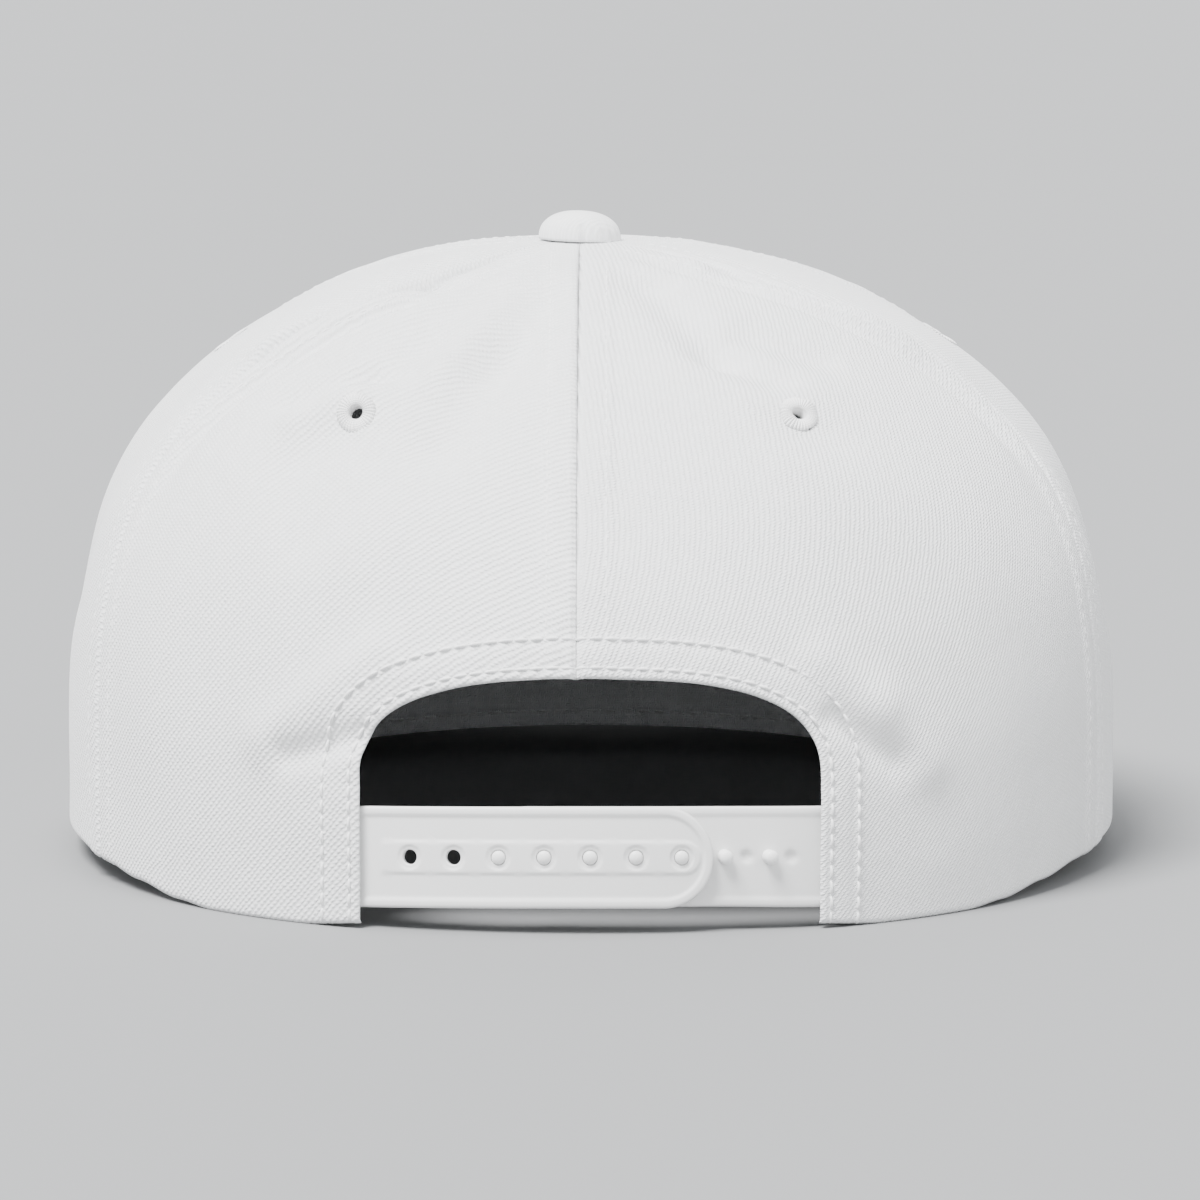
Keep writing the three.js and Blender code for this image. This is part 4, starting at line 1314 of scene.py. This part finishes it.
def make_sweatband():
    """A band inside the rim: a strip whose lower edge follows the rim, with a rolled free edge."""
    end = math.asin(ARCH_HALF_WIDTH / BACK_REACH) + SWEATBAND_SETBACK / BACK_REACH
    turn = np.linspace(end, 2 * math.pi - end, 420)
    up = spaced(SWEATBAND_HEIGHT, 0.4 * MM, 1.4 * MM, 5 * MM, 3 * MM)
    grid_turn, grid_up = np.meshgrid(turn, up, indexing="ij")
    high = grid_up * SWEATBAND_HEIGHT
    height = sweatband_foot(grid_turn) + high
    inset = sweatband_inset(grid_turn)
    channel = SWEATBAND_CHANNEL * bell(high, SWEATBAND_ROW, 0.5 * MM)
    roll = 0.24 * MM * bell(high, SWEATBAND_HEIGHT, 0.8 * MM)
    points = inside_crown(grid_turn, height, inset - channel - roll)
    uv = np.stack([grid_turn * BACK_REACH, height], axis=-1)
    flat = points.reshape(-1, 3)
    inwards = np.array([AXIS_X, AXIS_Y, 0]) - flat
    faces = faces_towards(flat, grid_faces(*grid_turn.shape), inwards)
    material = plain_weave("sweatband_weave")
    piece = piece_from("sweatband_cloth", flat, faces, material, uv)
    thicken(piece, SWEATBAND_THICKNESS)
    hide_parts("sweatband")
    inset = sweatband_inset(turn) - SWEATBAND_CHANNEL
    line = inside_crown(turn, sweatband_foot(turn) + SWEATBAND_ROW, inset)
    facing = unit(np.array([AXIS_X, AXIS_Y, 0]) - line * np.array([1, 1, 0]))
    thread = bpy.data.materials["sewing_thread"]
    row = [(line, facing)]
    sew("sweatband_stitches", row, sizes().stitch_pitch * 1.3, sizes().thread * 0.9, thread)


class CAP_OT_make_sweatband(Operator):
    """Make the band inside the rim."""

    bl_idname = "cap.make_sweatband"
    bl_label = "Make the sweatband"

    def execute(self, context):
        make_sweatband()
        return {"FINISHED"}


# Strap

STRAP_HEIGHT = 17.2 * MM
STRAP_LOW = 3.5 * MM
STRAP_ARCH = 1.0 * MM
HOLE_RADIUS = 1.3 * MM
RING_EDGE = (1.85 * MM, 2.15 * MM)
PEG_RADIUS = 1.22 * MM
PITCH = 7.8 * MM
HOLES = 7
ENGAGED = 5
FREE = 2
FIRST_HOLE = (HOLES + 1) / 2 * PITCH
LAST_HOLE = FIRST_HOLE - (HOLES - 1) * PITCH
END_MARGIN = 0.3 * STRAP_HEIGHT
TUCKED = ARCH_HALF_WIDTH + STRAP_TUCK
BORDER = 1.5 * MM
TRACK_HALF = 2.75 * MM
TRACK_START, TRACK_END = 36.3 * MM, LAST_HOLE - 0.5 * MM


def strap_inset(along):
    """How deep the pegged half's outer face lies: it slopes down to pass behind the other half."""
    behind = smooth_step(-ARCH_HALF_WIDTH, LAST_HOLE - END_MARGIN - STRAP_THICKNESS, along)
    return sizes().cloth + FIT + (STRAP_THICKNESS + FIT) * behind


def on_strap(along, height, inset, rise):
    """Places on a strap that curves with the crown, from places along it and across it."""
    middle = STRAP_LOW + STRAP_HEIGHT / 2 + STRAP_ARCH * (1 - (along / ARCH_HALF_WIDTH) ** 2)
    return inside_crown(along / BACK_REACH, middle + height, inset - rise)


def outline_distance(along, height, round_end, direction):
    """Distance inwards from the outline of a strap: straight sides and a half round end."""
    half = STRAP_HEIGHT / 2
    centre = round_end - direction * half
    past = np.maximum((along - centre) * direction, 0)
    return half - np.hypot(past, height)


def strap_rows():
    """Heights of a strap's rows: even in the band that holds the holes, and finer beside it."""
    band, half = PITCH / 2, STRAP_HEIGHT / 2
    border = np.linspace(band, half, 15)
    return np.concatenate([-border[:0:-1], np.linspace(-band, band, 17), border[1:]])


def plain_patch(start, stop, rows):
    """A stretch of strap between two places, as a grid with the given rows."""
    columns = max(int(round(abs(stop - start) / (PITCH / 16))), 1) + 1
    x, y = np.meshgrid(np.linspace(start, stop, columns), rows, indexing="ij")
    return x, y, grid_faces(*x.shape)


def ring_patch(centre, outline, rings):
    """A patch of strap round a hole: place = circle + (outline - circle) share, ring by ring."""
    angle = np.arctan2(outline[:, 1], outline[:, 0] - centre)
    circle = np.stack([centre + HOLE_RADIUS * np.cos(angle), HOLE_RADIUS * np.sin(angle)], axis=1)
    share = np.linspace(0, 1, rings)[:, None, None]
    place = circle[None] + (outline - circle)[None] * share
    place = np.concatenate([place, place[:, :1]], axis=1)
    return place[..., 0], place[..., 1], grid_faces(rings, len(outline) + 1)


def square_outline(centre):
    """Points round a square cell, as far apart as the grid beside it."""
    line = np.linspace(-PITCH / 2, PITCH / 2, 17)[:-1]
    side = np.full_like(line, PITCH / 2)
    x = np.concatenate([side, -line, -side, line])
    y = np.concatenate([line, side, -line, -side])
    return np.stack([centre + x, y], axis=1)


def round_outline(start, round_end):
    """Points round the end of a strap: up its square side, and round the end from top to bottom."""
    half = STRAP_HEIGHT / 2
    rows = strap_rows()
    angle = np.linspace(math.pi / 2, 3 * math.pi / 2, 70)
    centre = round_end + half
    x = np.concatenate([np.full_like(rows, start), centre + half * np.cos(angle)])
    y = np.concatenate([rows, half * np.sin(angle)])
    return np.stack([x, y], axis=1)


def edge_rise(edge, border):
    """Raised border of a strap, by the distance from its outline, with a rounded edge."""
    soften = 0.25 * MM * np.clip(1 - edge / (0.5 * MM), 0, 1) ** 2
    return border * (1 - smooth_step(BORDER * 0.8, BORDER * 1.25, edge)) - soften


def strap_piece(name, patches, relief, inset, material):
    """One half of the strap from flat patches: bent to the crown, raised by its relief, welded."""
    places = [on_strap(x, y, inset(x), relief(x, y)).reshape(-1, 3) for x, y, _ in patches]
    starts = np.cumsum([0] + [len(place) for place in places])
    points = np.concatenate(places)
    faces = np.concatenate([quads + start for (_, _, quads), start in zip(patches, starts)])
    piece = piece_from(name, points, faces, material)
    weld_strap(piece)
    return piece


def weld_strap(piece):
    """Merges a strap's patches, turns all faces outwards from the head, and gives it its wall."""
    work = opened(piece, 0.02 * MM)
    centre = Vector((AXIS_X, AXIS_Y, 0))
    work.normal_update()
    inwards = [
        face for face in work.faces if face.normal.dot(face.calc_center_median() - centre) < 0
    ]
    bmesh.ops.reverse_faces(work, faces=inwards)
    stored(piece, work)
    thicken(piece, STRAP_THICKNESS - 0.1 * MM)


def round_patch(start):
    """The stretch of strap that ends half round: each column is as tall as the outline there."""
    angle = np.linspace(0, 0.985 * math.pi / 2, 40)
    along = start + STRAP_HEIGHT / 2 * np.sin(angle)
    x = np.broadcast_to(along[:, None], (len(along), len(strap_rows())))
    return x, np.cos(angle)[:, None] * strap_rows()[None, :], grid_faces(*x.shape)


def make_strap_with_holes():
    """The outer half: a tucked end, seven cells with holes, and a half round end. Its relief is
    a raised border and middle track, and a sunk ring round each hole."""
    round_end = LAST_HOLE - END_MARGIN - FIT
    holes = FIRST_HOLE - np.arange(HOLES) * PITCH
    rows = strap_rows()
    first, last = FIRST_HOLE + PITCH / 2, LAST_HOLE + PITCH / 2
    patches = [plain_patch(TUCKED, first, rows)]
    patches += [plain_patch(first, last, rows[:15]), plain_patch(first, last, rows[-15:])]
    patches += [ring_patch(hole, square_outline(hole), 13) for hole in holes[:-1]]
    patches.append(ring_patch(LAST_HOLE, round_outline(last, round_end), 26))

    def relief(along, height):
        past = np.maximum(TRACK_END - along, 0)
        inside = np.minimum(TRACK_HALF - np.hypot(past, height), TRACK_START - along)
        rise = edge_rise(outline_distance(along, height, round_end, -1), 0.32 * MM)
        rise = rise + 0.22 * MM * smooth_step(-0.3 * MM, 0.3 * MM, inside)
        for hole in holes:
            ring = smooth_step(*RING_EDGE, np.hypot(along - hole, height))
            rise = rise - 0.24 * MM * (1 - ring)
        return rise

    def inset(along):
        return np.full_like(along, sizes().cloth + FIT)

    material = moulded_plastic("strap_outer_plastic")
    piece = strap_piece("strap_outer", patches, relief, inset, material)
    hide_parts("strap_with_holes")


def make_strap_with_pegs():
    """The inner half: a plain strip with a half round end, dimples, and a peg for each place."""
    first_peg = FIRST_HOLE - (HOLES - ENGAGED) * PITCH
    round_end = first_peg + PITCH / 2
    straight_end = round_end - STRAP_HEIGHT / 2
    pegs = first_peg - np.arange(ENGAGED + FREE) * PITCH
    dimples = pegs[ENGAGED:] - PITCH / 2
    patches = [plain_patch(-TUCKED, straight_end, strap_rows()), round_patch(straight_end)]

    def relief(along, height):
        rise = edge_rise(outline_distance(along, height, round_end, 1), 0.2 * MM)
        for dimple in dimples:
            away = np.hypot(along - dimple, height)
            rise = rise - 0.45 * MM * (1 - smooth_step(0.7 * MM, 1.2 * MM, away))
        return rise - 0.15 * MM * smooth_step(-24 * MM, -21 * MM, along)

    # Painted shade: the pegged half is a slightly darker copy of the strap's plastic
    material = moulded_plastic("strap_inner_plastic", 0.97)
    piece = strap_piece("strap_inner", patches, relief, strap_inset, material)
    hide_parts("strap_with_pegs")
    make_pegs(pegs)


def make_pegs(places):
    """Snap pegs: a waisted stem with a rounded head, turned round the line square to the strap."""
    steps = 28
    angle = circle(steps)
    over = np.linspace(0, math.pi / 2, 9)
    head = 2.05 * MM
    stem = np.array([[1.1, -0.4], [1.0, 0.1], [0.88, 0.5], [0.88, 1.0]])
    dome = np.stack([PEG_RADIUS * np.cos(over), head - 0.75 * MM * (1 - np.sin(over))], axis=1)
    profile = np.concatenate([[[0.0, -0.45 * MM]], stem * [PEG_RADIUS, MM], dome])
    count = len(profile)
    points, faces = [], []
    for k, along in enumerate(places):
        x = along + np.cos(angle)[:, None] * profile[None, :, 0]
        y = np.sin(angle)[:, None] * profile[None, :, 0]
        rise = np.broadcast_to(profile[None, :, 1], x.shape)
        points.append(on_strap(x, y, np.full_like(x, strap_inset(along)), rise))
        faces.append(grid_faces(steps, count, closed=True) + k * steps * count)
    points, faces = np.concatenate(points), np.concatenate(faces)
    # Painted highlight: the pegs are a lighter copy of the strap's plastic
    material = moulded_plastic("peg_plastic", 1.08)
    piece = piece_from("strap_pegs", points, faces, material)
    recalculate_out(piece)


class CAP_OT_mould_straps(Operator):
    """Mould the strap's two halves and the pegs that join them."""

    bl_idname = "cap.mould_straps"
    bl_label = "Mould the strap"

    def execute(self, context):
        make_strap_with_holes()
        make_strap_with_pegs()
        return {"FINISHED"}


# Stage

# Lights: the name, the direction the light comes from, its spread in degrees and its power
LIGHTS = (
    ("key", (0.5, 0.5, 1.35), 26, 9.8),
    ("fill", (-1.2, 1.0, 0.6), 60, 1.2),
    ("front", (0.4, -1.5, 1.2), 70, 1.0),
)


def soft_light(name, direction, spread, power):
    """A broad soft light that shines from a direction and covers the spread in degrees."""
    light = bpy.data.lights.new(name, "SUN")
    light.angle = math.radians(spread)
    light.energy = power
    lamp = bpy.data.objects.new(name, light)
    lamp.location = direction
    lamp.rotation_euler = Vector(direction).to_track_quat("Z", "Y").to_euler()
    bpy.context.scene.collection.objects.link(lamp)


class CAP_OT_set_stage(Operator):
    """Set the floor, the lights and the camera behind the cap."""

    bl_idname = "cap.set_stage"
    bl_label = "Set the stage"

    def execute(self, context):
        floor = bpy.data.meshes.new("floor")
        half = 60.0
        corners = [(-half, -half, 0), (half, -half, 0), (half, half, 0), (-half, half, 0)]
        floor.from_pydata(corners, [], [(0, 1, 2, 3)])
        floor.materials.append(plain_floor("floor_paint"))
        ground = bpy.data.objects.new("floor", floor)
        context.scene.collection.objects.link(ground)
        for light in LIGHTS:
            soft_light(*light)
        world = bpy.data.worlds.new("studio")
        world.use_nodes = True
        sky = world.node_tree.nodes["Background"]
        set_inputs(sky, {"Color": (0.93, 0.95, 0.97, 1), "Strength": 1.15})
        context.scene.world = world
        camera = bpy.data.cameras.new("camera")
        sensor, frame_pixels, focal_pixels = 36.0, 1200, 5446
        camera.sensor_width = sensor
        camera.lens = sensor * focal_pixels / frame_pixels
        view = bpy.data.objects.new("camera", camera)
        distance, height, pitch, side = 1.0, 0.1647, 0.1212, 1.65 * MM
        view.location = (AXIS_X - side, AXIS_Y + distance, height)
        view.rotation_euler = (math.pi / 2 - pitch, 0, math.pi)
        context.scene.collection.objects.link(view)
        context.scene.camera = view
        return {"FINISHED"}


class CAP_PT_builder(Panel):
    """Lists the steps that dress the cap."""

    bl_label = "Snapback cap"
    bl_idname = "CAP_PT_builder"
    bl_space_type = "VIEW_3D"
    bl_region_type = "UI"
    bl_category = "Cap"

    def draw(self, context):
        for settings in (context.scene.cap_sizes, context.scene.cap_colours):
            for name in settings.__annotations__:
                self.layout.prop(settings, name)
        for step in STEPS:
            self.layout.operator(step.bl_idname)


STEPS = (
    CAP_OT_set_stage,
    CAP_OT_make_panels,
    CAP_OT_sew_crown,
    CAP_OT_work_eyelets,
    CAP_OT_cover_button,
    CAP_OT_make_peak,
    CAP_OT_make_sweatband,
    CAP_OT_mould_straps,
)
CLASSES = (CapSizes, CapColours, *STEPS, CAP_PT_builder)


def register():
    """Registers the classes and the scene's settings."""
    for cls in CLASSES:
        bpy.utils.register_class(cls)
    bpy.types.Scene.cap_sizes = PointerProperty(type=CapSizes)
    bpy.types.Scene.cap_colours = PointerProperty(type=CapColours)


def unregister():
    """Removes the settings and the classes."""
    del bpy.types.Scene.cap_colours
    del bpy.types.Scene.cap_sizes
    for cls in reversed(CLASSES):
        bpy.utils.unregister_class(cls)


def main():
    """Dresses the cap."""
    register()
    bpy.ops.cap.set_stage()
    bpy.ops.cap.make_panels()
    bpy.ops.cap.sew_crown()
    bpy.ops.cap.work_eyelets()
    bpy.ops.cap.cover_button()
    bpy.ops.cap.make_peak()
    bpy.ops.cap.make_sweatband()
    bpy.ops.cap.mould_straps()
    bpy.context.view_layer.update()


if __name__ == "__main__":
    main()
